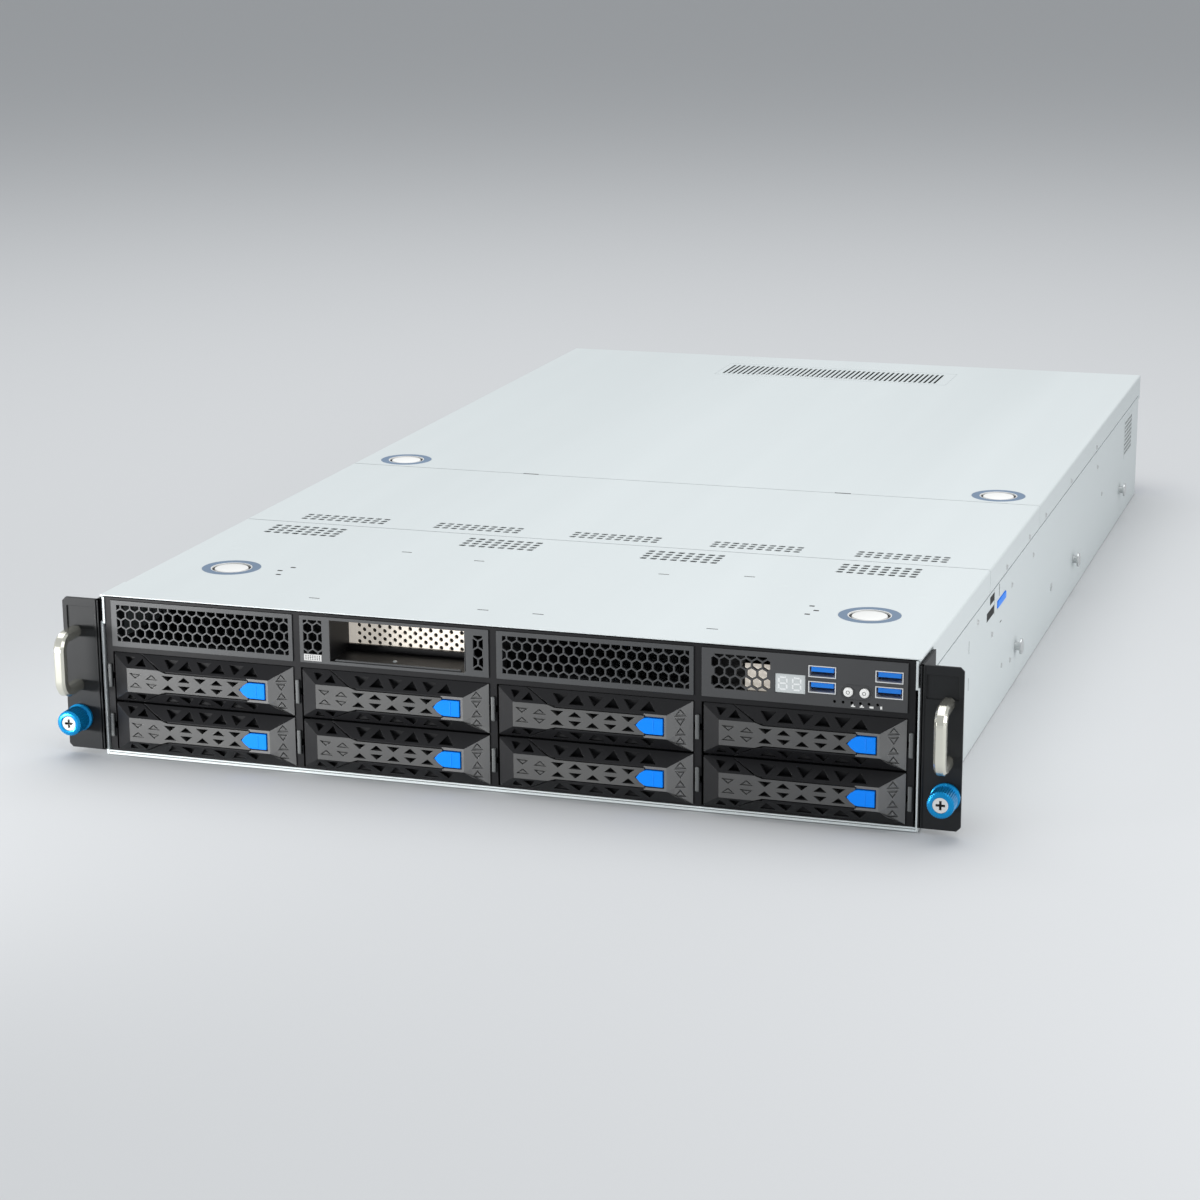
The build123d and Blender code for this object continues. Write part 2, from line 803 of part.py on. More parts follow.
# Fan rotor: hub with pitched blades and a shaft in the frame's hub plate
def fan_rotor():
    z = case_sheet + fan_size / 2
    y1 = fan_front + fan_depth - hub_plate - slide_gap
    y0 = y1 - rotor_length
    shape = front_slab(Pos(0, z) * RegularPolygon(fan_hub, 2 * fan_blades), y0, y1)
    shape += rod_y(0, z, fan_shaft, y1, fan_front + fan_depth)
    middle = (fan_hub + fan_tip) / 2 - 1
    for i in range(fan_blades):
        turn = Pos(0, (y0 + y1) / 2, z) * Rot(0, i * 360 / fan_blades, 0)
        shape += turn * Pos(middle, 0, 0) * Rot(blade_pitch, 0, 0) * Box(
            fan_tip - fan_hub, blade_thick, blade_chord)
    return shape


# Main board on spacers above the floor
def motherboard():
    shape = block(board_left, board_right, board_front, board_rear, board_z, board_z + board_sheet)
    half = spacer_size / 2
    for x in (board_left + spacer_inset, (board_left + board_right) / 2, board_right - spacer_inset):
        for y in (board_front + spacer_inset, (board_front + board_rear) / 2, board_rear - spacer_inset):
            shape += block(x - half, x + half, y - half, y + half, case_sheet, board_z)
    return shape


def heat_sink(x):
    """A finned processor cooler standing on the main board."""
    z0 = board_z + board_sheet
    half = sink_width / 2
    y0 = sink_front
    y1 = sink_front + sink_length
    shape = block(x - half, x + half, y0, y1, z0, z0 + sink_base)
    for i in range(sink_fins):
        fin = x - half + (sink_width - sink_fin) * i / (sink_fins - 1)
        shape += block(fin, fin + sink_fin, y0, y1, z0 + sink_base, z0 + sink_height)
    return shape


def memory_bank(x, direction):
    """A row of memory modules beside a heat sink, standing in their sockets."""
    z0 = board_z + board_sheet
    y0 = sink_front + (sink_length - memory_length) / 2
    modules = []
    for i in range(memory_per_bank):
        middle = x + direction * (memory_gap + memory_pitch * i)
        half = memory_thick / 2
        modules.append(block(middle - half, middle + half, y0, y0 + memory_length,
                             z0, z0 + memory_height))
    return modules


def riser_card(x):
    """An upright riser board with its card slots, one above the other."""
    z0 = board_z + board_sheet
    y1 = riser_front + riser_length
    shape = block(x, x + board_sheet, riser_front, y1, z0, z0 + riser_height)
    slot_front = riser_front + riser_slot_inset
    for i in range(riser_slots):
        z = riser_slot_first + i * riser_slot_pitch
        shape += block(x - riser_slot_deep, x, slot_front, slot_front + riser_slot_length,
                       z, z + riser_slot_thick)
    return shape


# Rear panel: openings for the power supplies, card slots and sockets, and a blade in each slot
def rear_panel():
    left = -upper_inner + wall_gap
    right = upper_inner - wall_gap
    face = Pos(0, (case_sheet + case_top) / 2) * Rectangle(right - left, case_top - case_sheet)
    for level in (0, 1):
        z = supply_floor(level) + supply_height / 2
        x = supply_right - supply_width / 2
        face -= Pos(x, z) * Rectangle(supply_width + 2 * slide_gap, supply_height + 2 * slide_gap)
    blades = []
    for x in slot_columns:
        for i in range(slot_count):
            z = slot_first + i * slot_pitch
            face -= Pos(x, z) * Rectangle(slot_opening, slot_opening_height)
            blade = Pos(x, z) * Rectangle(slot_opening + 2 * blade_overlap,
                                          slot_opening_height + 2 * blade_overlap)
            blades.append(front_slab(blade, case_rear - 2 * case_sheet, case_rear - case_sheet))
    for x, width, height in rear_sockets:
        face -= Pos(x, rear_socket_z) * Rectangle(width + 2 * wall_gap, height + 2 * wall_gap)
    shape = front_slab(face, case_rear - case_sheet, case_rear)
    return [shape] + blades


# Hot-swap power supply: case, fixed pull handle and mains inlet
def power_supply(level):
    z0 = supply_floor(level)
    z1 = z0 + supply_height
    x1 = supply_right
    x0 = supply_right - supply_width
    shape = block(x0, x1, supply_front, case_rear, z0, z1)
    middle = (z0 + z1) / 2
    inlet_x = x0 + inlet_inset + inlet_width / 2
    shape -= block(inlet_x - inlet_width / 2, inlet_x + inlet_width / 2,
                   case_rear - inlet_depth, case_rear + 1,
                   middle - inlet_height / 2, middle + inlet_height / 2)
    for i in (-1, 0, 1):
        pin_x = inlet_x + i * inlet_pin_pitch
        pin_z = middle + (abs(i) - 0.5) * inlet_pin_step
        shape += block(pin_x - inlet_pin / 2, pin_x + inlet_pin / 2,
                       case_rear - inlet_depth, case_rear - inlet_pin,
                       pin_z - inlet_pin_height / 2, pin_z + inlet_pin_height / 2)
    handle_x0 = x1 - supply_handle_inset
    half = supply_handle_span / 2
    bar = supply_handle_bar
    outer = case_rear + supply_handle_reach
    loop = block(handle_x0, handle_x0 + bar, case_rear, outer, middle - half, middle + half)
    loop -= block(handle_x0 - 1, handle_x0 + bar + 1, case_rear - 1, outer - bar,
                  middle - half + bar, middle + half - bar)
    return shape + loop


# Latch tab of a power supply, squeezed towards the handle
def supply_latch(level):
    z = supply_floor(level) + supply_height / 2
    x1 = supply_right - supply_latch_inset
    half = supply_latch_height / 2
    return block(x1 - supply_latch_width / 2, x1, case_rear + slide_gap,
                 case_rear + slide_gap + supply_latch_reach, z - half, z + half)


def cover_skin(y0, y1, flange_start, cuts):
    """A folded cover: top sheet with openings and a flange down each side."""
    sketch = Pos(0, (y0 + y1) / 2) * Rectangle(body_width, y1 - y0)
    sketch = Sketch() + sketch - cuts
    shape = top_slab(sketch, body_height - cover_sheet, body_height)
    bottom = body_height - cover_flange
    flange = block(cover_inner, half_width, flange_start, y1, bottom, body_height - cover_sheet)
    return shape + both_sides(flange)


def dimples(x, y):
    """A pair of shallow thumb recesses in a cover."""
    spot = Pos(x, y) * RegularPolygon(dimple_radius, dimple_side_count)
    return both_sides(top_slab(spot, body_height - dimple_depth, body_height))


# Covers: front, centre and rear
def front_cover():
    cuts = []
    for x in cover_vent_x:
        cuts += vent_slots(x, cover_vent_width, cover_vent_slots, cover_vent_front,
                           cover_vent_length, slot_width)
    shape = cover_skin(0, front_seam - seam_gap / 2, ear_return + 1, cuts)
    return shape - dimples(front_dimple_x, front_dimple_y)


def centre_bridge():
    cuts = []
    for i in range(bridge_vents):
        x = bridge_vent_middle + (i - (bridge_vents - 1) / 2) * bridge_vent_pitch
        cuts += vent_slots(x, bridge_vent_width, bridge_vent_slots, bridge_vent_front,
                           bridge_vent_length, slot_width)
    y0 = front_seam + seam_gap / 2
    y1 = rear_seam - seam_gap / 2
    return cover_skin(y0, y1, y0, cuts)


def rear_cover():
    cuts = vent_slots(0, rear_vent_width, rear_vent_slots, rear_vent_front,
                      rear_vent_length, rear_vent_slot)
    y0 = rear_seam + seam_gap / 2
    shape = cover_skin(y0, body_depth, y0, cuts)
    shape += block(-cover_inner, cover_inner, body_depth - cover_sheet, body_depth,
                   body_height - rear_flange, body_height - cover_sheet)
    cheek = block(cover_inner, half_width, case_rear + seam_gap, body_depth,
                  body_height - rear_cheek, body_height - cover_sheet)
    return shape + both_sides(cheek) - dimples(rear_dimple_x, rear_dimple_y)


# Assembly: every piece at its place, then exported in the part's own frame
def group(solids):
    """Several separate solids of one node."""
    return Compound([solid for shape in solids for solid in shape.solids()])


def build_nodes():
    nodes = {
        "chassis_base": chassis_base(),
        "drive_cage": drive_cage(),
        "drive_backplane": drive_backplane(),
        "front_cover": front_cover(),
        "centre_bridge": centre_bridge(),
        "rear_cover": rear_cover(),
        "rack_ears": group([both_sides(rack_ear())]),
        "pull_handles": group([both_sides(pull_handle())]),
        "left_thumbscrew": thumbscrew(-1),
        "right_thumbscrew": thumbscrew(1),
        "motherboard": motherboard(),
        "cpu_heatsinks": group([heat_sink(x) for x in sink_x]),
        "riser_cards": group([riser_card(x) for x in riser_x]),
        "rear_panel": group(rear_panel()),
        "rail_studs": group([both_sides(rail_stud(stud_first + i * stud_spacing))
                             for i in range(stud_count)]),
        "cover_latch_right": cover_latch(),
        "cover_latch_left": mirror(cover_latch(), about=Plane.YZ),
    }
    banks = []
    for x in sink_x:
        for direction in (-1, 1):
            banks += memory_bank(x + direction * sink_width / 2, direction)
    nodes["memory_modules"] = group(banks)

    module_mid = module_z + module_height / 2
    blank = bay_blank()
    nodes["bay_blanks"] = group([Pos(column_centres[i], 0, module_mid) * blank for i in (0, 2)])
    bay, bay_middle, bay_width, bay_height = expansion_bay()
    place = Pos(column_centres[1], 0, module_mid)
    nodes["expansion_bay"] = place * bay
    nodes["perforated_plate"] = place * perforated_plate(bay_middle, bay_width, bay_height)

    corner = Pos(column_centres[3] - module_width / 2, 0, module_z)
    sockets, buttons = panel_places()
    nodes["control_panel"] = corner * control_panel()
    nodes["digit_display"] = corner * digit_display()
    nodes["power_button"] = corner * round_button(*buttons[0])
    nodes["locator_button"] = corner * round_button(*buttons[1])
    ports = [corner * socket(x, z, socket_width, socket_height, -socket_proud, socket_depth, 1)
             for x, z in sockets]
    for x, width, height in rear_sockets:
        ports.append(socket(x, rear_socket_z, width, height,
                            case_rear - socket_depth, case_rear + socket_proud, -1))
    nodes["connector_ports"] = group(ports)

    frame = fan_frame()
    rotor = fan_rotor()
    fan_places = [Pos((i - (fan_count - 1) / 2) * fan_pitch, 0, 0) for i in range(fan_count)]
    nodes["fan_frames"] = group([place * frame for place in fan_places])
    for i, place in enumerate(fan_places):
        nodes[f"fan_rotor_{i + 1}"] = place * rotor

    for level in (0, 1):
        nodes[f"power_supply_{level + 1}"] = power_supply(level)
        nodes[f"supply_latch_{level + 1}"] = supply_latch(level)

    shell = carrier_shell()
    drive = disk()
    handle = lever()
    catch = release()
    number = 0
    for z in reversed(row_centres):
        for x in column_centres:
            number += 1
            place = Pos(x - carrier_width / 2, 0, z)
            nodes[f"carrier_{number}"] = group([place * shell, place * drive])
            nodes[f"lever_{number}"] = place * handle
            nodes[f"release_{number}"] = place * catch
    return nodes


os.makedirs("parts", exist_ok=True)
for name, shape in build_nodes().items():
    export_step(Pos(0, -y_middle, 0) * shape, f"parts/{name}.step")
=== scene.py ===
import math

import bmesh
import bpy
from mathutils import Matrix, Vector


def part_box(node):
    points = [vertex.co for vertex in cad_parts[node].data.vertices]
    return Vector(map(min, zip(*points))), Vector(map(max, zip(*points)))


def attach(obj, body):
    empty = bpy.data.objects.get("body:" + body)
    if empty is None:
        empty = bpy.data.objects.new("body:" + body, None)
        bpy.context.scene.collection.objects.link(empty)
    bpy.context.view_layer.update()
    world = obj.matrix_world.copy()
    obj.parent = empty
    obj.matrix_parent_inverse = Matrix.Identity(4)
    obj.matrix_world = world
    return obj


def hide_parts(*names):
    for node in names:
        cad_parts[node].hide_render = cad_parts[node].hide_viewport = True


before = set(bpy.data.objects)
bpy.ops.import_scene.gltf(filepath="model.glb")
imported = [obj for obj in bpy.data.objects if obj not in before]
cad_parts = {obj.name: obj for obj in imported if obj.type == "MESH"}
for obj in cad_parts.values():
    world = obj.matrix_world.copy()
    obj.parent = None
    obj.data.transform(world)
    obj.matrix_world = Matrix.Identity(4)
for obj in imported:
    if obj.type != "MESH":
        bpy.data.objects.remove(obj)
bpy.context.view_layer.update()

# Camera: stands 1.3 m in front of the case, right of its right ear and well above it, and looks down
# and a little to the left. Places are in millimetres from the middle of the case's bottom front
# edge, as everywhere below but for the floor and the lamps.
MM = 0.001
FRONT_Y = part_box("chassis_base")[0].y
TO_FRAME = Matrix.Translation((0, FRONT_Y, 0)) @ Matrix.Scale(MM, 4)
camera_place = (480.4, -1310.0, 466.6)
camera_turn = 17.894
camera_tilt = 14.697
camera_roll = 0.381
camera_lens = 85.91
scene = bpy.context.scene


def shown(name, data):
    """Puts a new object with this data into the scene."""
    made = bpy.data.objects.new(name, data)
    scene.collection.objects.link(made)
    return made


def turn(degrees, axis):
    """A rotation about X, Y or Z."""
    return Matrix.Rotation(math.radians(degrees), 4, axis)


camera_data = bpy.data.cameras.new("camera")
camera_data.lens = camera_lens
camera_data.sensor_width = 36
camera_data.clip_end = 60
scene.camera = shown("camera", camera_data)
scene.camera.matrix_world = (Matrix.Translation(TO_FRAME @ Vector(camera_place)) @ turn(camera_turn, "Z")
                             @ turn(-camera_tilt, "X") @ turn(camera_roll, "Y") @ turn(90, "X"))
scene.view_settings.view_transform = "Standard"

# Studio: a pale floor without an edge, a soft lamp overhead, one beside the right front corner and
# a low strip at the left that lets the fronts fade to the right, with a pale sky in the shadows.
floor_reach = 30.0
floor_drop = 0.0004


def settings(node, values):
    """Sets the inputs of a shader node by their names."""
    for name, value in values.items():
        node.inputs[name].default_value = value


floor_mesh = bmesh.new()
bmesh.ops.create_grid(floor_mesh, x_segments=1, y_segments=1, size=floor_reach)
floor_data = bpy.data.meshes.new("floor")
floor_mesh.to_mesh(floor_data)
floor_mesh.free()
floor = shown("floor", floor_data)
floor.location.z = -floor_drop

floor_paint = bpy.data.materials.new("floor_paint")
floor_paint.use_nodes = True
settings(floor_paint.node_tree.nodes["Principled BSDF"],
         {"Base Color": (0.60, 0.61, 0.62, 1), "Roughness": 0.95, "Specular IOR Level": 0.1})
floor_data.materials.append(floor_paint)

world = bpy.data.worlds.new("studio")
world.use_nodes = True
settings(world.node_tree.nodes["Background"], {"Color": (0.9, 0.93, 0.96, 1), "Strength": 0.55})
scene.world = world


def soft_lamp(name, place, target, size, power, spread=180):
    """A soft box that shines from a place towards a target, in metres, watts and degrees."""
    lamp = bpy.data.lights.new(name, "AREA")
    lamp.shape = "RECTANGLE"
    lamp.size, lamp.size_y = size
    lamp.energy = power
    lamp.spread = math.radians(spread)
    aim = Vector(target) - Vector(place)
    aimed = aim.to_track_quat("-Z", "Y").to_matrix().to_4x4()
    shown(name, lamp).matrix_world = Matrix.Translation(place) @ aimed


soft_lamp("overhead", (-0.2, 0.3, 2.2), (0, 0, 0), (2.6, 2.6), 42)
soft_lamp("right_front", (1.05, -0.62, 0.42), (0.2, -0.4, 0.05), (0.6, 0.6), 4.4)
soft_lamp("left_front", (-0.60, -0.80, 0.05), (-0.19, -0.42, 0.045), (0.4, 0.05), 0.85, 60)


# Sheet steel of the case: zinc-coated and rolled, pale and satin, with faint streaks along the
# rolling direction. The case bottom with its side walls is one folded sheet, held by spot welds.
def grain_group():
    """Fine relief over softened edges, and a slow cloudy mask, both in the piece's own space."""
    tree = bpy.data.node_groups.new("surface_grain", "ShaderNodeTree")
    for name, low, high in (("Grain Scale", 0.0, 100000.0), ("Relief", 0.0, 1.0), ("Streak", 0.001, 1.0),
                            ("Edge Radius", 0.0, 1.0), ("Cloud Scale", 0.0, 1000.0)):
        socket = tree.interface.new_socket(name, in_out="INPUT", socket_type="NodeSocketFloat")
        socket.min_value = low
        socket.max_value = high
    tree.interface.new_socket("Normal", in_out="OUTPUT", socket_type="NodeSocketVector")
    tree.interface.new_socket("Cloud", in_out="OUTPUT", socket_type="NodeSocketFloat")
    given, place, stretch, mapping, noise, cloud, bevel, bump, out = [tree.nodes.new(kind) for kind in (
        "NodeGroupInput", "ShaderNodeTexCoord", "ShaderNodeCombineXYZ", "ShaderNodeMapping",
        "ShaderNodeTexNoise", "ShaderNodeTexNoise", "ShaderNodeBevel", "ShaderNodeBump",
        "NodeGroupOutput")]
    settings(stretch, {"X": 1.0, "Z": 1.0})
    settings(noise, {"Detail": 2.0})
    settings(cloud, {"Detail": 4.0, "Roughness": 0.62})
    settings(bump, {"Distance": 0.0001})
    bevel.samples = 4
    for source, leaving, target, entering in (
            (given, "Streak", stretch, "Y"), (stretch, "Vector", mapping, "Scale"),
            (place, "Object", mapping, "Vector"), (mapping, "Vector", noise, "Vector"),
            (given, "Grain Scale", noise, "Scale"), (mapping, "Vector", cloud, "Vector"),
            (given, "Cloud Scale", cloud, "Scale"), (given, "Edge Radius", bevel, "Radius"),
            (given, "Relief", bump, "Strength"), (noise, "Fac", bump, "Height"),
            (bevel, "Normal", bump, "Normal"), (bump, "Normal", out, "Normal"),
            (cloud, "Fac", out, "Cloud")):
        tree.links.new(source.outputs[leaving], target.inputs[entering])
    return tree


surface_grain = grain_group()


def between(tree, mask, socket, low, high):
    """Lets a mask move a material's own value between low and high."""
    ramp = tree.nodes.new("ShaderNodeMapRange")
    settings(ramp, {"From Min": 0.3, "From Max": 0.7, "To Min": low, "To Max": high})
    tree.links.new(mask, ramp.inputs["Value"])
    tree.links.new(ramp.outputs[0], socket)


def finish_paint(name, light, dark, metallic, rough, grain=900.0, relief=0.2, streak=1.0,
                 cloud=9.0, edge=0.0003, shine=0.5, painted_glow=0.0):
    """A finish whose colour and gloss drift a little between two tones, over a fine relief; painted_glow
    makes it shine by itself, as painted light.
    """
    paint = bpy.data.materials.new(name)
    paint.use_nodes = True
    tree = paint.node_tree
    shader = tree.nodes["Principled BSDF"]
    settings(shader, {"Metallic": metallic, "Specular IOR Level": shine,
                      "Emission Color": (*light, 1), "Emission Strength": painted_glow})
    effect = tree.nodes.new("ShaderNodeGroup")
    effect.node_tree = surface_grain
    settings(effect, {"Grain Scale": grain, "Relief": relief, "Streak": streak,
                      "Cloud Scale": cloud, "Edge Radius": edge})
    tone = tree.nodes.new("ShaderNodeMix")
    tone.data_type = "RGBA"
    settings(tone, {"A": (*dark, 1), "B": (*light, 1)})
    between(tree, effect.outputs["Cloud"], tone.inputs["Factor"], 0.0, 1.0)
    between(tree, effect.outputs["Cloud"], shader.inputs["Roughness"], *rough)
    tree.links.new(tone.outputs["Result"], shader.inputs["Base Color"])
    tree.links.new(effect.outputs["Normal"], shader.inputs["Normal"])
    return paint


def wear(paint, *nodes):
    """Gives pieces of the frame that keep their own shape their finish."""
    for node in nodes:
        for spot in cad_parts[node].material_slots:
            spot.material = paint


steel = finish_paint("case_steel", (0.70, 0.745, 0.75), (0.64, 0.685, 0.69), 0.25, (0.50, 0.60),
                     grain=1500.0, relief=0.18, streak=0.06, cloud=5.0)
wear(steel, "chassis_base")

# Covers: three folded steel lids with punched vent fields and shallow thumb recesses, each recess
# ringed in blue-grey print. Small lanced tabs and weld marks hold the stiffeners underneath.
half_width = 220.0
case_top = 87.86
case_rear = 793.0
cover_sheet = 1.0
lid_skin = 0.5
fold_radius = 1.4
flange_low = case_top - 13.5
front_seam = 185.0
rear_seam = 348.0
half_seam = 0.4
cover_rear = 800.0
rear_fold = 4.0
rear_cheek = 17.0
ear_return = 29.0
dimple_ring = 16.2
tab_length = 9.0
sharp_angle = 32
CASE = "server_case"


def at(x, y, z):
    """A shift in millimetres."""
    return Matrix.Translation((x, y, z))


def outline(mesh, points):
    """Adds a closed line of corners to a drawing that is filled later."""
    corners = [mesh.verts.new((x, y, 0)) for x, y in points]
    for first, second in zip(corners, corners[1:] + corners[:1]):
        mesh.edges.new((first, second))


def oblong(mesh, left, right, low, high):
    """Adds a rectangle to a drawing."""
    outline(mesh, ((left, low), (right, low), (right, high), (left, high)))


def sheet(left, right, low, high):
    """Starts a drawing with a rectangle."""
    mesh = bmesh.new()
    oblong(mesh, left, right, low, high)
    return mesh


def rim(mesh, x, y, radius, sides, angle=0.0, stretch=(0.0, 0.0), filled=False):
    """Adds a round or many-sided line; stretch pulls its quarters apart into a long hole."""
    made = bmesh.ops.create_circle(mesh, cap_ends=filled, segments=sides, radius=radius,
                                   matrix=at(x, y, 0) @ turn(angle, "Z"))
    for corner in made["verts"]:
        corner.co.x += math.copysign(stretch[0], corner.co.x - x)
        corner.co.y += math.copysign(stretch[1], corner.co.y - y)


def new_corners(grown):
    """The corners among what an extrusion has made."""
    return [part for part in grown["geom"] if isinstance(part, bmesh.types.BMVert)]


def cover_drawing(mesh):
    """Fills the drawing between its outer lines and its holes."""
    bmesh.ops.triangle_fill(mesh, use_beauty=True, use_dissolve=False, edges=mesh.edges[:],
                            normal=(0, 0, 1))


def fill(mesh, thick):
    """Fills the drawing and gives it thickness behind Z 0."""
    cover_drawing(mesh)
    grown = bmesh.ops.extrude_face_region(mesh, geom=mesh.faces[:])
    bmesh.ops.translate(mesh, vec=(0, 0, -thick), verts=new_corners(grown))
    bmesh.ops.recalc_face_normals(mesh, faces=mesh.faces[:])


def add(whole, part, place=Matrix()):
    """Puts one mesh into another at a place and frees it."""
    bmesh.ops.transform(part, matrix=place, verts=part.verts[:])
    if place.determinant() < 0:
        bmesh.ops.reverse_faces(part, faces=part.faces[:])
    shared = bpy.data.meshes.new("part")
    part.to_mesh(shared)
    part.free()
    whole.from_mesh(shared)
    bpy.data.meshes.remove(shared)


def slab(whole, x0, x1, y0, y1, z0, z1, soft=0.0):
    """Adds a block between two corners, with softened edges where it has any."""
    part = bmesh.new()
    size = Matrix.Diagonal((abs(x1 - x0), abs(y1 - y0), abs(z1 - z0), 1))
    bmesh.ops.create_cube(part, size=1.0, matrix=at((x0 + x1) / 2, (y0 + y1) / 2, (z0 + z1) / 2) @ size)
    if soft:
        bmesh.ops.bevel(part, geom=part.edges[:], offset=soft, segments=2, profile=0.5,
                        affect="EDGES", material=-1)
    add(whole, part)


def piece(whole, name, body, paint, replaced=(), smooth=False):
    """Makes the object: takes the mesh from millimetres to its place, gives it a body and a finish."""
    bmesh.ops.transform(whole, matrix=TO_FRAME, verts=whole.verts[:])
    data = bpy.data.meshes.new(name)
    for face in whole.faces:
        face.smooth = smooth
    whole.to_mesh(data)
    whole.free()
    made = shown(name, data)
    data.materials.append(paint)
    if smooth:
        data.set_sharp_from_angle(angle=math.radians(sharp_angle))
    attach(made, body)
    if replaced:
        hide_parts(*replaced)


def vent_field(mesh, x, y, columns, rows, pitch, row_pitch, hole):
    """Adds a field of small oblong holes whose front row starts at y, centred on x."""
    wide, long, corner = hole
    for column in range(columns):
        for row in range(rows):
            rim(mesh, x + (column - (columns - 1) / 2) * pitch, y + (row + 0.5) * row_pitch, corner, 8,
                22.5, (wide / 2 - corner, long / 2 - corner))


def cover_lid(front, rear, flange_front, dimples=(), vents=()):
    """The top sheet of a cover with its folds and side flanges."""
    whole = bmesh.new()
    flat = half_width - fold_radius
    top = sheet(-flat, flat, front, rear)
    for vent in vents:
        vent_field(top, *vent)
    for x, y in dimples:
        rim(top, x, y, dimple_ring, 48)
    fill(top, lid_skin)
    add(whole, top, at(0, 0, case_top))
    for side in (-1, 1):
        fold = bmesh.new()
        low = fold.verts.new((side * half_width, flange_front, flange_low))
        high = fold.verts.new((side * half_width, flange_front, case_top - fold_radius))
        fold.edges.new((low, high))
        bmesh.ops.spin(fold, geom=[high], cent=(side * flat, flange_front, case_top - fold_radius),
                       axis=(0, 1, 0), angle=side * math.radians(-90), steps=5)
        grown = bmesh.ops.extrude_edge_only(fold, edges=fold.edges[:])
        bmesh.ops.translate(fold, vec=(0, rear - flange_front, 0), verts=new_corners(grown))
        bmesh.ops.recalc_face_normals(fold, faces=fold.faces[:])
        bmesh.ops.solidify(fold, geom=fold.faces[:], thickness=cover_sheet)
        bmesh.ops.recalc_face_normals(fold, faces=fold.faces[:])
        add(whole, fold)
        if flange_front > front:
            slab(whole, side * flat, side * (half_width - 0.1), front, flange_front,
                 case_top - cover_sheet, case_top)
    return whole


def lanced_tab(whole, x, y):
    """A narrow tab pressed up out of the sheet."""
    tab = bmesh.new()
    bmesh.ops.create_cube(tab, size=1.0, matrix=Matrix.Diagonal((tab_length, 1.1, 0.24, 1)))
    bmesh.ops.bevel(tab, geom=tab.edges[:], offset=0.1, segments=1, profile=0.5, affect="EDGES",
                    material=-1)
    add(whole, tab, at(x, y, case_top - 0.11))


front_dimples = ((-178.0, 74.0), (178.0, 74.0))
rear_dimples = ((-191.5, 368.0), (191.5, 368.0))
front_vents = [(x, 155.5, 8, 4, 5.75, 5.5, (4.1, 3.5, 1.2)) for x in (-174.3, -54.7, 51.8, 162.5)]
centre_vents = [(x, 193.0, 10, 3, 5.35, 5.0, (3.9, 3.2, 1.1)) for x in (-163.4, -80.7, 2.3, 85.2, 168.1)]
rear_vents = [(0.5, 725.0, 44, 1, 3.7, 37.0, (1.9, 36.0, 0.9))]

lid = cover_lid(0.5, front_seam - half_seam, ear_return, front_dimples, front_vents)
for x in (-210.0, 5.0, 112.0):
    lanced_tab(lid, x, 28.0)
    lanced_tab(lid, x + 4, 131.0)
piece(lid, "front_lid", "front_cover", steel, ("front_cover",))
lid = cover_lid(front_seam + half_seam, rear_seam - half_seam, front_seam + half_seam, (), centre_vents)
piece(lid, "centre_lid", CASE, steel, ("centre_bridge",))
lid = cover_lid(rear_seam + half_seam, cover_rear, rear_seam + half_seam, rear_dimples, rear_vents)
slab(lid, -half_width + 0.6, half_width - 0.6, cover_rear - cover_sheet, cover_rear,
     case_top - rear_fold, case_top - 0.9)
for side in (-1, 1):
    slab(lid, side * (half_width - cover_sheet), side * half_width, case_rear + 2 * half_seam,
         cover_rear, case_top - rear_cheek, flange_low + 0.01)
piece(lid, "rear_lid", "rear_cover", steel, ("rear_cover",))

# Front frame and drive cage: folded black powder-coated steel behind the carriers. Every post
# between two columns carries a light spring tab beside each carrier that keys its runner.
column_pitch = 107.9
post_x = [(i - 2) * column_pitch for i in range(5)]
row_z = (44.05, 16.65)
tab_half = 1.1
tab_half_tall = 6.5


def blocks(*rows):
    """A new mesh of blocks, each given as for a slab."""
    whole = bmesh.new()
    for row in rows:
        slab(whole, *row)
    return whole


black = finish_paint("black_steel", (0.012, 0.012, 0.013), (0.008, 0.008, 0.009), 0.0, (0.38, 0.5),
                     grain=1800.0, relief=0.25, shine=0.2)
wear(black, "drive_cage")
tab_grey = finish_paint("tab_grey", (0.13, 0.135, 0.135), (0.10, 0.105, 0.105), 0.2, (0.35, 0.45))

tabs = blocks(*[(x - tab_half, x + tab_half, -0.7, 0.6, z - tab_half_tall, z + tab_half_tall, 0.6)
                for x in post_x for z in row_z])
piece(tabs, "post_tabs", CASE, tab_grey)
hem = blocks((-half_width + 1.3, half_width - 1.3, 0.0, 0.6, 1.5, 2.4, 0.2),
             (-half_width + 0.4, half_width - 0.4, -0.25, 0.3, 0.05, 0.75, 0.2))
piece(hem, "floor_hem", CASE, steel)

# Disk carriers: a black moulded face with steep slopes and triangle pockets round a low ridge, its right
# end in the lever's grey painted lighter as painted light, on two side rails that hold a bare metal disk
# drive.
# U runs along the face from its left end and W up from its middle line.
column_x = [(i - 1.5) * column_pitch for i in range(4)]
carrier_wide = 103.5
half_tall = 13.15
ridge_height = 5.5
ridge_start = 10.3
ridge_end = 91.3
wide_half = 6.5
arm_half = 5.1
base_half = 6.25
slot_half = arm_half + 0.45
face_seam = 0.75
seam_start = 16.0
neck_start = 28.4
neck_end = 32.7
arm_end = 79.6
arm_stop = arm_end - 0.2
catch_tip = 75.3
catch_end = 89.3
catch_half = 4.15
truss_first = 33.9
truss_pitch = 9.35
pivot_u = 5.0
pivot_y = 2.6
rail_end = 165
disk_half = 50.8
FRONT_VIEW = turn(90, "X")


def roof_height(u, w, top):
    """Height of a hip-roofed face over its rim; top is half the ridge's height."""
    return ridge_height * min(1, u / ridge_start, (carrier_wide - u) / (carrier_wide - ridge_end),
                              (half_tall - abs(w)) / (half_tall - top))


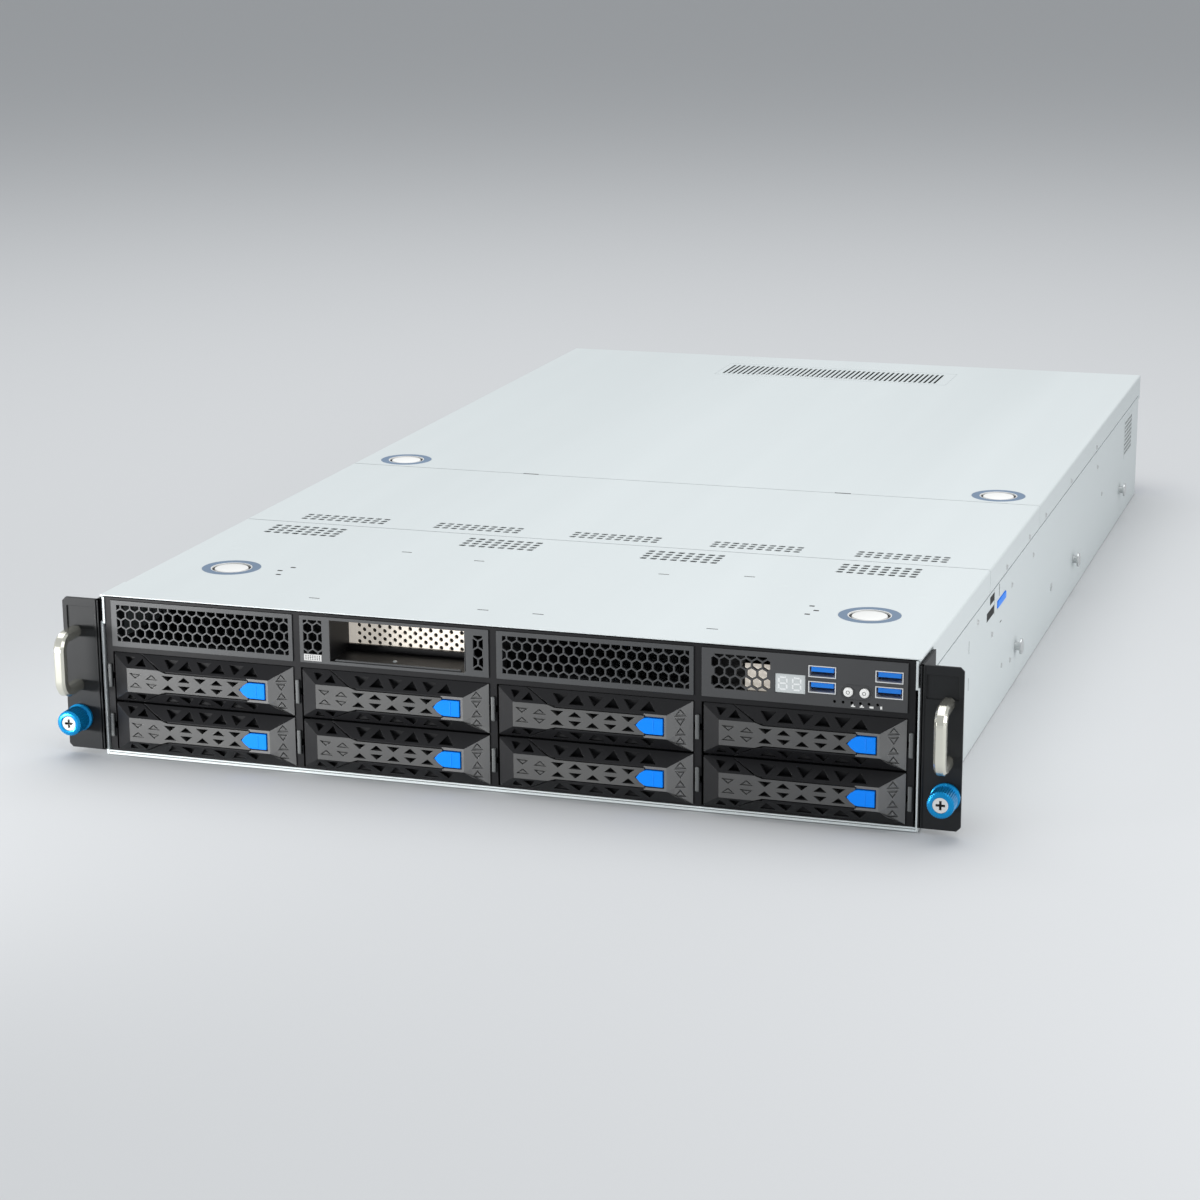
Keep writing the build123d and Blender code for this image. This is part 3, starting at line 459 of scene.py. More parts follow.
def triangle(u, w, wide, tall, up, side=1):
    """Corners of a triangle that points up or down, above or below the middle line."""
    tip = tall / 2 if up else -tall / 2
    return [(u, side * (w + tip)), (u - wide / 2, side * (w - tip)), (u + wide / 2, side * (w - tip))]


def facet(whole, points, top, holes=(), thick=1.4, floor=-0.2, drop=0.0):
    """One flat stretch of the roofed face with its holes, drawn from the front."""
    part = bmesh.new()
    outline(part, points)
    for hole in holes:
        outline(part, hole)
    cover_drawing(part)
    for corner in part.verts:
        corner.co.z = roof_height(corner.co.x, corner.co.y, top) - drop
    for corner in new_corners(bmesh.ops.extrude_face_region(part, geom=part.faces[:])):
        corner.co.z = max(corner.co.z - thick, floor)
    bmesh.ops.recalc_face_normals(part, faces=part.faces[:])
    add(whole, part, FRONT_VIEW)


def engraved(whole, top, marks):
    """The raised middles of engraved triangles and the floor of their grooves."""
    for u, w, wide, tall, up in marks:
        facet(whole, triangle(u, w, wide * 0.55, tall * 0.5, up), top, thick=1.0)
        facet(whole, triangle(u, w, wide * 1.1, tall * 1.1, up), top, drop=0.9, thick=0.5)


def flipped(points, side):
    """An outline above the middle line, or its mirror image below it."""
    return [(u, side * w) for u, w in points]


def turned_bar(whole, profile, steps, place):
    """Adds a lathe-turned form: a profile of radius and height about Z, carried to a place."""
    part = bmesh.new()
    line = [part.verts.new((radius, 0, height)) for radius, height in profile]
    edges = [part.edges.new(pair) for pair in zip(line, line[1:])]
    bmesh.ops.spin(part, geom=line + edges, cent=(0, 0, 0), axis=(0, 0, 1), angle=math.tau,
                   steps=steps, use_merge=True)
    bmesh.ops.remove_doubles(part, verts=part.verts[:], dist=0.0005)
    bmesh.ops.recalc_face_normals(part, faces=part.faces[:])
    add(whole, part, place)


def carrier_face():
    """The black part of a carrier: slopes right of the seam, body, pivot pin and rails."""
    whole = bmesh.new()
    middle = carrier_wide / 2
    seam = [(seam_start + face_seam, half_tall), (neck_start + face_seam, wide_half + 0.3),
            (neck_end - 1.6, base_half)]
    for side in (-1, 1):
        pockets = [triangle(truss_first + 0.6 + i * truss_pitch, 9.4, 8.2, 4.3, i % 2 == 1, side)
                   for i in range(6)]
        facet(whole, flipped(seam + [(ridge_end, base_half), (carrier_wide, half_tall)], side),
              base_half, pockets)
        slab(whole, neck_end, arm_stop, -ridge_height, 0, side * slot_half, side * base_half)
        slab(whole, pivot_u - 1.2, pivot_u + 2.2, 1.0, 9, side * (half_tall - 1.6), side * half_tall,
             0.3)
    slab(whole, neck_start + 3, catch_tip - 1, -1.6, 0.5, -base_half, base_half)
    slab(whole, catch_tip - 1, ridge_end - 0.3, -0.6, 0.5, -base_half, base_half)
    slab(whole, seam_start + 0.4, carrier_wide, 0.01, 10, -half_tall, half_tall, 0.25)
    slab(whole, 7.7, seam_start + 0.6, 0.4, 10, -half_tall, half_tall)
    slab(whole, 0, 7.8, 8, 10, -half_tall, half_tall)
    turned_bar(whole, ((0, -12), (1.25, -12), (1.25, 12), (0, 12)), 20, at(pivot_u, pivot_y, 0))
    for side in (-1, 1):
        slab(whole, middle + side * 50.92, middle + side * 51.88, 9, rail_end, -8, 8, 0.2)
        slab(whole, middle + side * 51.8, middle + side * 52.7, 16, rail_end, -1.45, 1.45, 0.2)
    return whole


def carrier_crown():
    """The grey end of a carrier: the frame round the catch and the pyramid end with its engraving."""
    whole = bmesh.new()
    back = catch_end + 0.75
    mouth = arm_end + 0.6
    open_half = catch_half + 0.75
    facet(whole, [(arm_stop, base_half), (ridge_end, base_half), (ridge_end, -base_half),
                  (arm_stop, -base_half), (arm_stop, -slot_half), (mouth, -slot_half),
                  (mouth, -open_half), (back, -open_half), (back, open_half), (mouth, open_half),
                  (mouth, slot_half), (arm_stop, slot_half)], base_half, thick=4.4)
    marks = [(97.6, w, wide, 4.0, up) for w, wide, up in
             ((7.4, 5.6, True), (2.5, 5.0, False), (-2.4, 5.0, True), (-7.3, 5.6, True))]
    facet(whole, [(ridge_end, base_half), (carrier_wide, half_tall), (carrier_wide, -half_tall),
                  (ridge_end, -base_half)], base_half, [triangle(*mark) for mark in marks])
    engraved(whole, base_half, marks)
    return whole


def disk_drive():
    """The drive between the rails: a cast body with a pressed lid."""
    middle = carrier_wide / 2
    return blocks((middle - disk_half, middle + disk_half, 18, rail_end, -13.0, 12.4, 0.6),
                  (middle - 47, middle + 47, 22, rail_end - 4, 12.3, 13.0, 0.5))


# Levers: a black skirt and a grey ridge plate with an open truss of triangles along its arm. The
# lever turns on a vertical pin at the carrier's left end and is held shut by the blue catch.
truss_w = 2.45
truss_wide = 7.0
truss_tall = 2.8
catch_shoulder = 80.2


def lever_plate():
    """The grey ridge plate with its pierced arm and the engraved triangles of its wide end."""
    whole = bmesh.new()
    half = [(ridge_start, wide_half), (neck_start, wide_half), (neck_end, arm_half),
            (arm_end, arm_half), (arm_end, catch_half - 0.1), (catch_tip - 0.7, 0)]
    lower = [(u, -w) for u, w in reversed(half[:-1])]
    holes = []
    marks = []
    for i in range(-2, 5):
        for side in (-1, 1):
            spot = (truss_first + i * truss_pitch, side * truss_w, truss_wide, truss_tall,
                    (i % 2 == 1) == (side == 1))
            holes.append(triangle(*spot))
            if i < 0:
                marks.append(spot)
    facet(whole, half + lower, wide_half, holes, thick=3.3)
    engraved(whole, wide_half, marks)
    return whole


def lever_skirt():
    """The black slopes of the lever's wide end and its barrel on the pivot pin."""
    whole = bmesh.new()
    inset = 1.2
    barrel = 11.2
    corner = half_tall - inset * (half_tall - wide_half) / ridge_start
    facet(whole, [(inset, corner), (ridge_start, wide_half), (ridge_start, -wide_half),
                  (inset, -corner)], wide_half, thick=1.3, floor=-0.1)
    for side in (-1, 1):
        pockets = [triangle(10.6, 9.9, 5.6, 3.4, False, side), triangle(18.0, 9.4, 6.4, 3.6, True, side)]
        facet(whole, flipped([(inset, half_tall), (seam_start, half_tall), (neck_start, wide_half),
                              (ridge_start, wide_half), (inset, corner)], side),
              wide_half, pockets, thick=1.3, floor=-0.1)
    turned_bar(whole, ((1.3, -barrel), (2.2, -barrel), (2.2, barrel), (1.3, barrel)), 20,
               at(pivot_u, pivot_y, 0))
    slab(whole, pivot_u - 1.8, pivot_u + 1.8, -1.6, 1.2, -barrel, barrel)
    return whole


def catch_button():
    """The blue push catch: a pentagon with a crowned face and a faint ridge line."""
    whole = bmesh.new()
    upper = [(catch_tip + 2.0, 2.3), (catch_shoulder - 0.6, catch_half - 0.3),
             (catch_shoulder + 0.8, catch_half), (catch_end, catch_half)]
    face = bmesh.new()
    outline(face, [(catch_tip, 0)] + upper + flipped(upper[::-1], -1))
    fill(face, 3.4)
    add(whole, face, at(0, -ridge_height - 0.3, 0) @ FRONT_VIEW)
    slab(whole, 84.3, 84.7, -ridge_height - 0.4, -ridge_height, -3.4, 3.4, 0.08)
    return whole


carrier_black = finish_paint("carrier_black", (0.011, 0.011, 0.012), (0.008, 0.008, 0.009), 0.0,
                             (0.36, 0.48), grain=2600.0, relief=0.35, edge=0.00025, shine=0.18)
lever_grey = finish_paint("lever_grey", (0.090, 0.090, 0.088), (0.070, 0.070, 0.070), 0.1, (0.34, 0.44),
                          grain=2600.0, relief=0.4, edge=0.00025)
# The crown is the lever's material; its lighter grey is painted light from the right.
crown_lit_grey = finish_paint("crown_lit_grey", (0.17, 0.17, 0.168), (0.14, 0.14, 0.14), 0.15, (0.34, 0.44),
                          grain=2600.0, relief=0.4, edge=0.00025)
# The blue of the catches and latch tabs glows faintly: painted light.
latch_blue = finish_paint("latch_blue", (0.0, 0.22, 0.90), (0.0, 0.20, 0.84), 0.0, (0.3, 0.4),
                          grain=1500.0, relief=0.05, edge=0.0004, shine=0.2, painted_glow=0.08)
disk_metal = finish_paint("disk_metal", (0.55, 0.56, 0.57), (0.46, 0.47, 0.48), 0.8, (0.35, 0.5),
                          grain=1200.0, relief=0.15, streak=0.1)

carrier_forms = (
    ("carrier_front", carrier_face(), "carrier", "carrier_black", carrier_black, True),
    ("carrier_crown", carrier_crown(), "carrier", "carrier_black", crown_lit_grey, False),
    ("disk_drive", disk_drive(), "carrier", "carrier_black", disk_metal, False),
    ("lever_plate", lever_plate(), "lever", "lever_grey", lever_grey, True),
    ("lever_skirt", lever_skirt(), "lever", "lever_grey", carrier_black, False),
    ("catch_button", catch_button(), "release", "latch_blue", latch_blue, True),
)
for number in range(8):
    place = at(column_x[number % 4] - carrier_wide / 2, 0, row_z[number // 4])
    for name, form, body, slot, paint, replaces_node in carrier_forms:
        node = f"{body}_{number + 1}"
        copied = form.copy()
        bmesh.ops.transform(copied, matrix=place, verts=copied.verts[:])
        piece(copied, f"{name}_{number + 1}", node, paint, (node,) if replaces_node else ())
for entry in carrier_forms:
    entry[1].free()

# Honeycomb blanks over columns 1 and 3: dark grey mouldings, fully pierced, with a deep rim.
# The places of every module count from its own lower left corner.
module_x = [x - 51.85 for x in column_x]
module_z = 60.3
module_wide = 103.7
module_tall = 25.1
hex_pitch = 5.5
hex_web = 0.8
grille_sheet = 1.4
module_depth = 12.0
rim_wall = 1.2


def honeycomb(mesh, left, right, low, high):
    """Adds hexagonal holes with upright sides to a drawing, cut off square at the window's edges."""
    cells = bmesh.new()
    radius = (hex_pitch - hex_web) / math.sqrt(3)
    row_step = hex_pitch * math.sqrt(3) / 2
    middle_x = (left + right) / 2
    middle_y = (low + high) / 2
    rows = math.ceil((high - low) / 2 / row_step)
    columns = math.ceil((right - left) / 2 / hex_pitch) + 1
    for row in range(-rows, rows + 1):
        for column in range(-columns, columns + 1):
            x = middle_x + (column + (row % 2) / 2) * hex_pitch
            y = middle_y + row * row_step
            if left - 1 < x < right + 1 and low - 0.8 < y < high + 0.8:
                rim(cells, x, y, radius, 6, filled=True)
    for spot, outward in (((left, 0, 0), (-1, 0, 0)), ((right, 0, 0), (1, 0, 0)),
                          ((0, low, 0), (0, -1, 0)), ((0, high, 0), (0, 1, 0))):
        whole = cells.verts[:] + cells.edges[:] + cells.faces[:]
        bmesh.ops.bisect_plane(cells, geom=whole, plane_co=spot, plane_no=outward, clear_outer=True)
    bmesh.ops.delete(cells, geom=cells.faces[:], context="FACES_ONLY")
    add(mesh, cells)


def standing(whole, drawing, thick, x, y, z):
    """Gives a front-view drawing its thickness and stands it up with its face at y."""
    fill(drawing, thick)
    add(whole, drawing, at(x, y, z) @ FRONT_VIEW)


def box_rim(whole, x0, x1, y0, y1, z0, z1, wall):
    """Four walls round an opening that faces the front."""
    ring = sheet(x0, x1, z0, z1)
    oblong(ring, x0 + wall, x1 - wall, z0 + wall, z1 - wall)
    standing(whole, ring, y1 - y0, 0, y0, 0)


def module_rim(whole, column, sheet_thick):
    """Adds the deep rim behind the plate of the module over a column."""
    box_rim(whole, module_x[column], module_x[column] + module_wide, sheet_thick - 0.1, module_depth,
            module_z, module_z + module_tall, rim_wall)


grille_grey = finish_paint("grille_grey", (0.050, 0.052, 0.054), (0.039, 0.041, 0.043), 0.0,
                           (0.36, 0.46), grain=2200.0, relief=0.3, edge=0.0002)
blanks = bmesh.new()
for column in (0, 2):
    plate = sheet(0, module_wide, 0, module_tall)
    honeycomb(plate, 3.2, module_wide - 2.2, 3.0, module_tall - 2.4)
    standing(blanks, plate, grille_sheet, module_x[column], 0, module_z)
    module_rim(blanks, column, grille_sheet)
piece(blanks, "honeycomb_blanks", CASE, grille_grey, ("bay_blanks",))

# Bezel of column 2: a moulded frame with two narrow vents and an open bay for a plug-in module,
# closed at its rear by a pale perforated sheet that glows a little as painted light, with painted shade
# behind it. A small tab of paper-white plastic sits at its foot.
bay = 1
bay_left = 15.0
bay_right = module_wide - 11.4
bay_border = 1.6
bay_depth = 27.0


def module_slab(whole, column, x0, x1, y0, y1, z0, z1, soft=0.0):
    """Adds a block to the module over a column."""
    left = module_x[column]
    slab(whole, left + x0, left + x1, y0, y1, module_z + z0, module_z + z1, soft)


def module_blocks(column, *rows):
    """A new mesh of blocks in the module over a column."""
    whole = bmesh.new()
    for row in rows:
        module_slab(whole, column, *row)
    return whole


bezel = bmesh.new()
plate = sheet(0, module_wide, 0, module_tall)
oblong(plate, bay_left + bay_border, bay_right - bay_border, bay_border, module_tall - bay_border)
honeycomb(plate, 2.0, bay_left - 2.6, 4.8, module_tall - 2.2)
honeycomb(plate, bay_right + 3.0, module_wide - 2.9, 3.4, module_tall - 3.4)
standing(bezel, plate, grille_sheet, module_x[bay], 0, module_z)
tunnel = bmesh.new()
box_rim(tunnel, module_x[bay] + bay_left + 0.4, module_x[bay] + bay_right - 0.4, 0.9, bay_depth,
        module_z + 0.4, module_z + module_tall - 0.4, rim_wall)
module_slab(tunnel, bay, bay_left + 1.7, bay_right - 1.7, bay_depth - 3.5, bay_depth - 1.1,
            1.7, 5.0, 0.3)
piece(tunnel, "bay_tunnel", CASE, carrier_black)
module_slab(bezel, bay, bay_left + 4, bay_right - 4, 1.0, 2.2, bay_border, bay_border + 1.0, 0.3)
module_slab(bezel, bay, bay_left + 2, bay_right - 2, 0.4, 1.4, 0.5, 1.2, 0.2)
piece(bezel, "bay_bezel", CASE, grille_grey, ("expansion_bay",))

fittings = module_blocks(bay, (bay_right - 1.55, bay_right - 0.9, 0.0, 0.9, 2.2, 17.5, 0.15))
turned_bar(fittings, ((0, 0.7), (0.9, 0.45), (1.2, 0)), 16,
           at(module_x[bay] + 49.0, 9.0, module_z + 1.6))
piece(fittings, "bay_fittings", CASE, steel)

# The ivory paint glows a little: painted light.
glowing_ivory = finish_paint("ivory_plate", (0.96, 0.89, 0.79), (0.91, 0.84, 0.74), 0.0, (0.5, 0.6),
                     grain=1500.0, relief=0.1, painted_glow=0.35)
sheet_wide = bay_right - bay_left - 2 * bay_border
sheet_tall = module_tall - 2 * bay_border
pierced_x = 5.8
pierced_pitch = 2.86
pierced_row = 4.4
pierced_radius = 1.15
pierced = bmesh.new()
plate = sheet(0, sheet_wide, 0, sheet_tall)
for column in range(24):
    x = pierced_x + column * pierced_pitch
    rows = 3 if column % 2 else 4
    for row in range(rows):
        if x < sheet_wide - 2:
            rim(plate, x, sheet_tall / 2 + (row - (rows - 1) / 2) * pierced_row,
                pierced_radius, 16)
standing(pierced, plate, 0.9, module_x[bay] + bay_left + bay_border, bay_depth - 0.95,
         module_z + bay_border)
piece(pierced, "pierced_sheet", CASE, glowing_ivory, ("perforated_plate",))

# deep_shadow: a near-black paint for painted shade in openings, gaps and hollows. A block of it lies
# behind the pierced sheet, painted shade seen through its holes.
dark = finish_paint("deep_shadow", (0.006, 0.006, 0.006), (0.004, 0.004, 0.004), 0.0, (0.6, 0.8))
behind = module_blocks(bay, (17, bay_right - 2, bay_depth + 0.3, bay_depth + 1, 2, module_tall - 2))
piece(behind, "bay_back_shade", CASE, dark)

paper = finish_paint("tab_white", (0.56, 0.56, 0.55), (0.50, 0.50, 0.49), 0.0, (0.55, 0.65), shine=0.2)
tab = bmesh.new()
plate = sheet(0, 9.8, 0, 3.4)
for column in range(7):
    for row in range(3):
        rim(plate, 1.1 + column * 1.26, 0.8 + row * 0.9, 0.36, 6)
standing(tab, plate, 0.25, module_x[bay] + 2.2, -0.2, module_z + 1.2)
piece(tab, "white_tab", CASE, paper)

# Control panel in column 4: a grey moulded plate with a small honeycomb vent, a two-digit window,
# two pairs of stacked sockets, two round buttons on an oval plinth and a row of indicator holes.
panel = 3
panel_x = module_x[panel]
panel_sheet = 2.0
window_x = 37.2
window_z = 5.0
window_wide = 15.5
window_tall = 9.9
socket_wide = 13.8
socket_tall = 5.9
socket_places = [(x, z) for x in (54.2, 87.6) for z in (6.5, 14.4)]
button_x = (74.2, 82.3)
button_z = 8.3
button_radius = 2.4
plinth_x = sum(button_x) / 2
sign_hole_x = 67.4
sign_hole_z = 2.9
sign_hole_pitch = 4.3
sign_hole_radius = 0.75

panel_grey = finish_paint("panel_grey", (0.05, 0.051, 0.053), (0.04, 0.041, 0.043), 0.0, (0.38, 0.48),
                          grain=2200.0, relief=0.25, edge=0.0002)
panel_face = bmesh.new()
plate = sheet(0, module_wide, 0, module_tall)
honeycomb(plate, 4.9, 34.9, 4.6, 22.4)
oblong(plate, window_x, window_x + window_wide, window_z, window_z + window_tall)
for x, z in socket_places:
    oblong(plate, x - 0.1, x + socket_wide + 0.1, z - 0.1, z + socket_tall + 0.1)
for x in button_x:
    rim(plate, x, button_z, button_radius + 0.35, 32)
for i in range(6):
    rim(plate, sign_hole_x + sign_hole_pitch * i, sign_hole_z, sign_hole_radius, 16)
standing(panel_face, plate, panel_sheet, panel_x, 0, module_z)
module_rim(panel_face, panel, panel_sheet)
plinth = bmesh.new()
for radius in (3.9, 3.65):
    rim(plinth, plinth_x, button_z, radius, 48, stretch=(4.0, 0))
standing(panel_face, plinth, 0.3, panel_x, -0.18, module_z)
piece(panel_face, "panel_face", CASE, panel_grey, ("control_panel",))

# Behind the honeycomb vent: a dark block of painted shade at its left and a pale glowing block of
# painted light at its right; a second dark block of painted shade lies behind the indicator holes.
shadow = module_blocks(panel, (2, 20.5, 7.0, 7.5, 2, module_tall - 2), (64, 92, 3.6, 4.0, 1.3, 4.6))
piece(shadow, "panel_vent_shade", CASE, dark)
lit = module_blocks(panel, (20.6, 35.8, 6.0, 6.6, 2, 17.0, 0.2))
piece(lit, "vent_painted_light", CASE, glowing_ivory)

window = finish_paint("display_window", (0.56, 0.59, 0.59), (0.50, 0.53, 0.53), 0.0, (0.12, 0.2),
                      relief=0.02, edge=0.0002)
digit_white = finish_paint("digit_white", (0.80, 0.82, 0.82), (0.76, 0.78, 0.78), 0.0, (0.3, 0.4))
screen = module_blocks(panel, (window_x + 0.1, window_x + window_wide - 0.1, 0.42, 6,
                               window_z + 0.1, window_z + window_tall - 0.1, 0.1))
piece(screen, "display_block", CASE, window, ("digit_display",))


def seven_segments(whole, x, z, wide, tall, bar):
    """The seven unlit bars of one digit."""
    for level in (0, 1, 2):
        low = z + level * (tall - bar) / 2
        module_slab(whole, panel, x + bar, x + wide - bar, 0.4, 0.43, low, low + bar)
    for left in (x, x + wide - bar):
        for low in (z + bar, z + (tall + bar) / 2):
            module_slab(whole, panel, left, left + bar, 0.4, 0.43, low, low + (tall - 3 * bar) / 2)


digits = bmesh.new()
for x in (1.6, 8.6):
    seven_segments(digits, window_x + x, window_z + 1.4, 4.9, 7.0, 0.9)
piece(digits, "display_digits", CASE, digit_white)

# Sockets: folded bright shells with a blue contact tongue, four in the panel and the rest at the
# rear, where each is given by its middle X, width and height. Dark blocks of painted shade fill their
# insides, navy in the panel and near-black at the rear; in each small rear socket one such dark bar
# is its contact tongue, darkened as painted shade.
socket_metal = finish_paint("socket_metal", (0.82, 0.83, 0.83), (0.74, 0.75, 0.75), 0.55, (0.25, 0.35),
                            edge=0.0001)
tongue_blue = finish_paint("tongue_blue", (0.0, 0.19, 0.72), (0.0, 0.16, 0.62), 0.0, (0.2, 0.3))
socket_navy_shade = finish_paint("socket_navy_shade", (0.003, 0.012, 0.06), (0.002, 0.009, 0.045), 0.0, (0.3, 0.4))
rear_socket_z = 14.5
rear_sockets = ((-190.0, 16.0, 13.0), (-168.0, 16.0, 13.0), (-140.0, 31.0, 11.0), (-108.0, 13.8, 5.9),
                (-90.0, 13.8, 5.9), (50.0, 16.0, 13.0), (72.0, 16.0, 13.0))
shells = bmesh.new()
tongues = bmesh.new()
socket_shade_blocks = bmesh.new()
rear_shade_blocks = bmesh.new()
for x, z in socket_places:
    x0 = panel_x + x
    z0 = module_z + z
    x1 = x0 + socket_wide
    z1 = z0 + socket_tall
    box_rim(shells, x0, x1, -0.28, 11.9, z0, z1, 0.45)
    slab(tongues, x0 + 1.3, x1 - 1.1, 0.2, 11, z0 + 2.7, z0 + 5.2, 0.2)
    slab(socket_shade_blocks, x0 + 0.4, x1 - 0.4, 6.0, 11.5, z0 + 0.4, z1 - 0.4)
for x, wide, tall in rear_sockets:
    low = rear_socket_z - tall / 2
    high = rear_socket_z + tall / 2
    box_rim(shells, x - wide / 2, x + wide / 2, case_rear - 11.9, case_rear + 0.28, low, high, 0.5)
    slab(rear_shade_blocks, x - wide / 2 + 0.4, x + wide / 2 - 0.4, case_rear - 11.5, case_rear - 3,
         low + 0.4, high - 0.4)
    if tall < 12:
        slab(rear_shade_blocks, x - wide * 0.36, x + wide * 0.36, case_rear - 7, case_rear - 0.8, 13.9, 15.7,
             0.2)
piece(shells, "socket_shells", CASE, socket_metal, ("connector_ports",))
piece(tongues, "socket_tongues", CASE, tongue_blue)
piece(socket_shade_blocks, "front_socket_shade", CASE, socket_navy_shade)
piece(rear_shade_blocks, "rear_socket_shade", CASE, dark)

# Buttons: two white domed push buttons with fine grey rings for marks, each on a square collar
# behind the panel. Small white strokes beside the indicator holes stand for their printed signs.
button_white = finish_paint("button_white", (0.84, 0.84, 0.82), (0.80, 0.80, 0.78), 0.0, (0.3, 0.4),
                            relief=0.03)
mark_grey = finish_paint("mark_grey", (0.12, 0.12, 0.12), (0.1, 0.1, 0.1), 0.0, (0.5, 0.6))
for x, node in zip(button_x, ("power_button", "locator_button")):
    cap = bmesh.new()
    turned_bar(cap, ((0, 1.12), (1.5, 1.1), (2.1, 0.95), (2.38, 0.6), (2.38, -2.2), (0, -2.2)), 32,
               at(panel_x + x, 0, module_z + button_z) @ FRONT_VIEW)
    module_slab(cap, panel, x - 3.3, x + 3.3, 2.25, 3.2, button_z - 3.3, button_z + 3.3)
    piece(cap, node + "_cap", node, button_white, (node,), smooth=True)
    mark = bmesh.new()
    drawing = bmesh.new()
    for radius in (0.95, 0.7):
        rim(drawing, 0, 0, radius, 24)
    standing(mark, drawing, 0.1, panel_x + x, -1.16, module_z + button_z)
    piece(mark, node + "_mark", node, mark_grey)

signs = module_blocks(panel, *[(x0, x1, -0.06, 0.05, z0, z1) for x0, x1, z0, z1 in (
    (75.6, 77.8, 0.9, 1.5), (76.2, 77.0, 1.5, 2.2), (80.0, 82.2, 0.9, 1.5), (80.6, 81.4, 1.5, 2.2),
    (84.9, 86.9, 0.9, 1.9), (90.2, 91.2, 0.8, 2.3))])
piece(signs, "indicator_marks", CASE, button_white)

# Rack ears: black-grey painted steel angles screwed to the sides, each with two fine upright beads
# beside the case and a shallow empty recess for a user's own tag.
ear_outer = 241.3
ear_low = 2.8
ear_high = 85.7
ear_corner = 2.0
ear_sheet = 1.6
ear_skin = 0.7
ear_back = 28.0
screw_x = 233.8
screw_z = 20.1
pad = (223.0, 238.9, 68.9, 81.2)
MIRROR = Matrix.Diagonal((-1, 1, 1, 1))
ear_paint = finish_paint("ear_paint", (0.015, 0.016, 0.017), (0.011, 0.012, 0.013), 0.0, (0.40, 0.50),
                         grain=1800.0, relief=0.3, edge=0.0003, shine=0.22)


def both_sides(whole, part):
    """Adds a part of the right side and its mirror image on the left."""
    add(whole, part.copy(), MIRROR)
    add(whole, part)


def ear_drawing():
    """The outline of an ear with the hole of its thumbscrew."""
    mesh = bmesh.new()
    outline(mesh, ((half_width, ear_low), (ear_outer - ear_corner, ear_low),
                   (ear_outer, ear_low + ear_corner), (ear_outer, ear_high - ear_corner),
                   (ear_outer - ear_corner, ear_high), (half_width, ear_high)))
    rim(mesh, screw_x, screw_z, 3.2, 24)
    return mesh


ears = bmesh.new()
ear = bmesh.new()
skin = ear_drawing()
oblong(skin, *pad)
standing(ear, skin, ear_skin, 0, -ear_sheet, 0)
standing(ear, ear_drawing(), ear_sheet - ear_skin, 0, ear_skin - ear_sheet, 0)
slab(ear, half_width, half_width + ear_sheet, -ear_sheet, ear_back, ear_low, ear_high)
for x in (half_width + 0.15, half_width + 1.5):
    slab(ear, x, x + 0.75, -ear_sheet - 0.45, -ear_sheet + 0.2, ear_low + 0.3, ear_high - 0.3, 0.2)
both_sides(ears, ear)
piece(ears, "ear_plates", CASE, ear_paint, ("rack_ears",))

# Pull handles: bright nickel-plated bars of eight-sided section with bent ends, screwed from behind.
handle_x = 234.0
handle_low = 38.0
handle_high = 67.5
handle_front = -20.0
handle_bend = 6.5
bar_flat = 1.7
bar_half = 2.95


def swept_bar(whole, path, section):
    """Carries a section of (across, outward) points along a path of (y, z) points at handle_x."""
    part = bmesh.new()
    rings = []
    for i, (y, z) in enumerate(path):
        along = (Vector(path[min(i + 1, len(path) - 1)]) - Vector(path[max(i - 1, 0)])).normalized()
        rings.append([part.verts.new((handle_x + a, y + along.y * b, z - along.x * b))
                      for a, b in section])
    for ring, following in zip(rings, rings[1:]):
        for i in range(len(section)):
            j = (i + 1) % len(section)
            part.faces.new((ring[i], ring[j], following[j], following[i]))
    part.faces.new(rings[0])
    part.faces.new(rings[-1])
    bmesh.ops.recalc_face_normals(part, faces=part.faces[:])
    both_sides(whole, part)


def bend(centre_z, start):
    """Points of a quarter turn of the handle, from start degrees onwards."""
    turns = [math.radians(start + step) for step in range(0, 91, 10)]
    return [(handle_front + handle_bend - handle_bend * math.cos(turned),
             centre_z + handle_bend * math.sin(turned)) for turned in turns]


nickel = finish_paint("bright_handle", (0.80, 0.79, 0.70), (0.72, 0.71, 0.62), 0.9, (0.16, 0.24),
                      grain=1500.0, relief=0.05, edge=0.0003)
handle_path = ([(-ear_sheet, handle_low)] + bend(handle_low + handle_bend, -90)
               + bend(handle_high - handle_bend, 0) + [(-ear_sheet, handle_high)])
quarter = [(bar_half, -bar_flat), (bar_half, bar_flat), (bar_flat, bar_half), (-bar_flat, bar_half)]
handles = bmesh.new()
swept_bar(handles, handle_path, quarter + [(-a, -b) for a, b in quarter])
piece(handles, "handle_bars", CASE, nickel, ("pull_handles",))

# Captive thumbscrews: blue anodised knurled knobs over a flared collar, pressed on a bright
# cross-recessed screw whose thread stands out behind the ear.
knob_steps = 72
knurl_depth = 0.955
head_radius = 3.9
mouth_radius = head_radius + 0.1
knob_blue = finish_paint("blue_knob", (0.0, 0.30, 0.66), (0.0, 0.24, 0.56), 0.6, (0.22, 0.32),
                         grain=1500.0, relief=0.05, edge=0.0002)
bright = finish_paint("bright_screw", (0.84, 0.84, 0.83), (0.76, 0.76, 0.75), 0.85, (0.2, 0.3),
                      edge=0.0001)


def cross_head(whole, radius, thick, place):
    """A round screw head with a cross recess."""
    drawing = bmesh.new()
    rim(drawing, 0, 0, radius, 32)
    reach = radius * 0.6
    slot = radius * 0.16
    half = [(slot, slot), (slot, reach), (-slot, reach), (-slot, slot), (-reach, slot), (-reach, -slot)]
    outline(drawing, half + [(-x, -y) for x, y in half])
    fill(drawing, thick)
    add(whole, drawing, place)


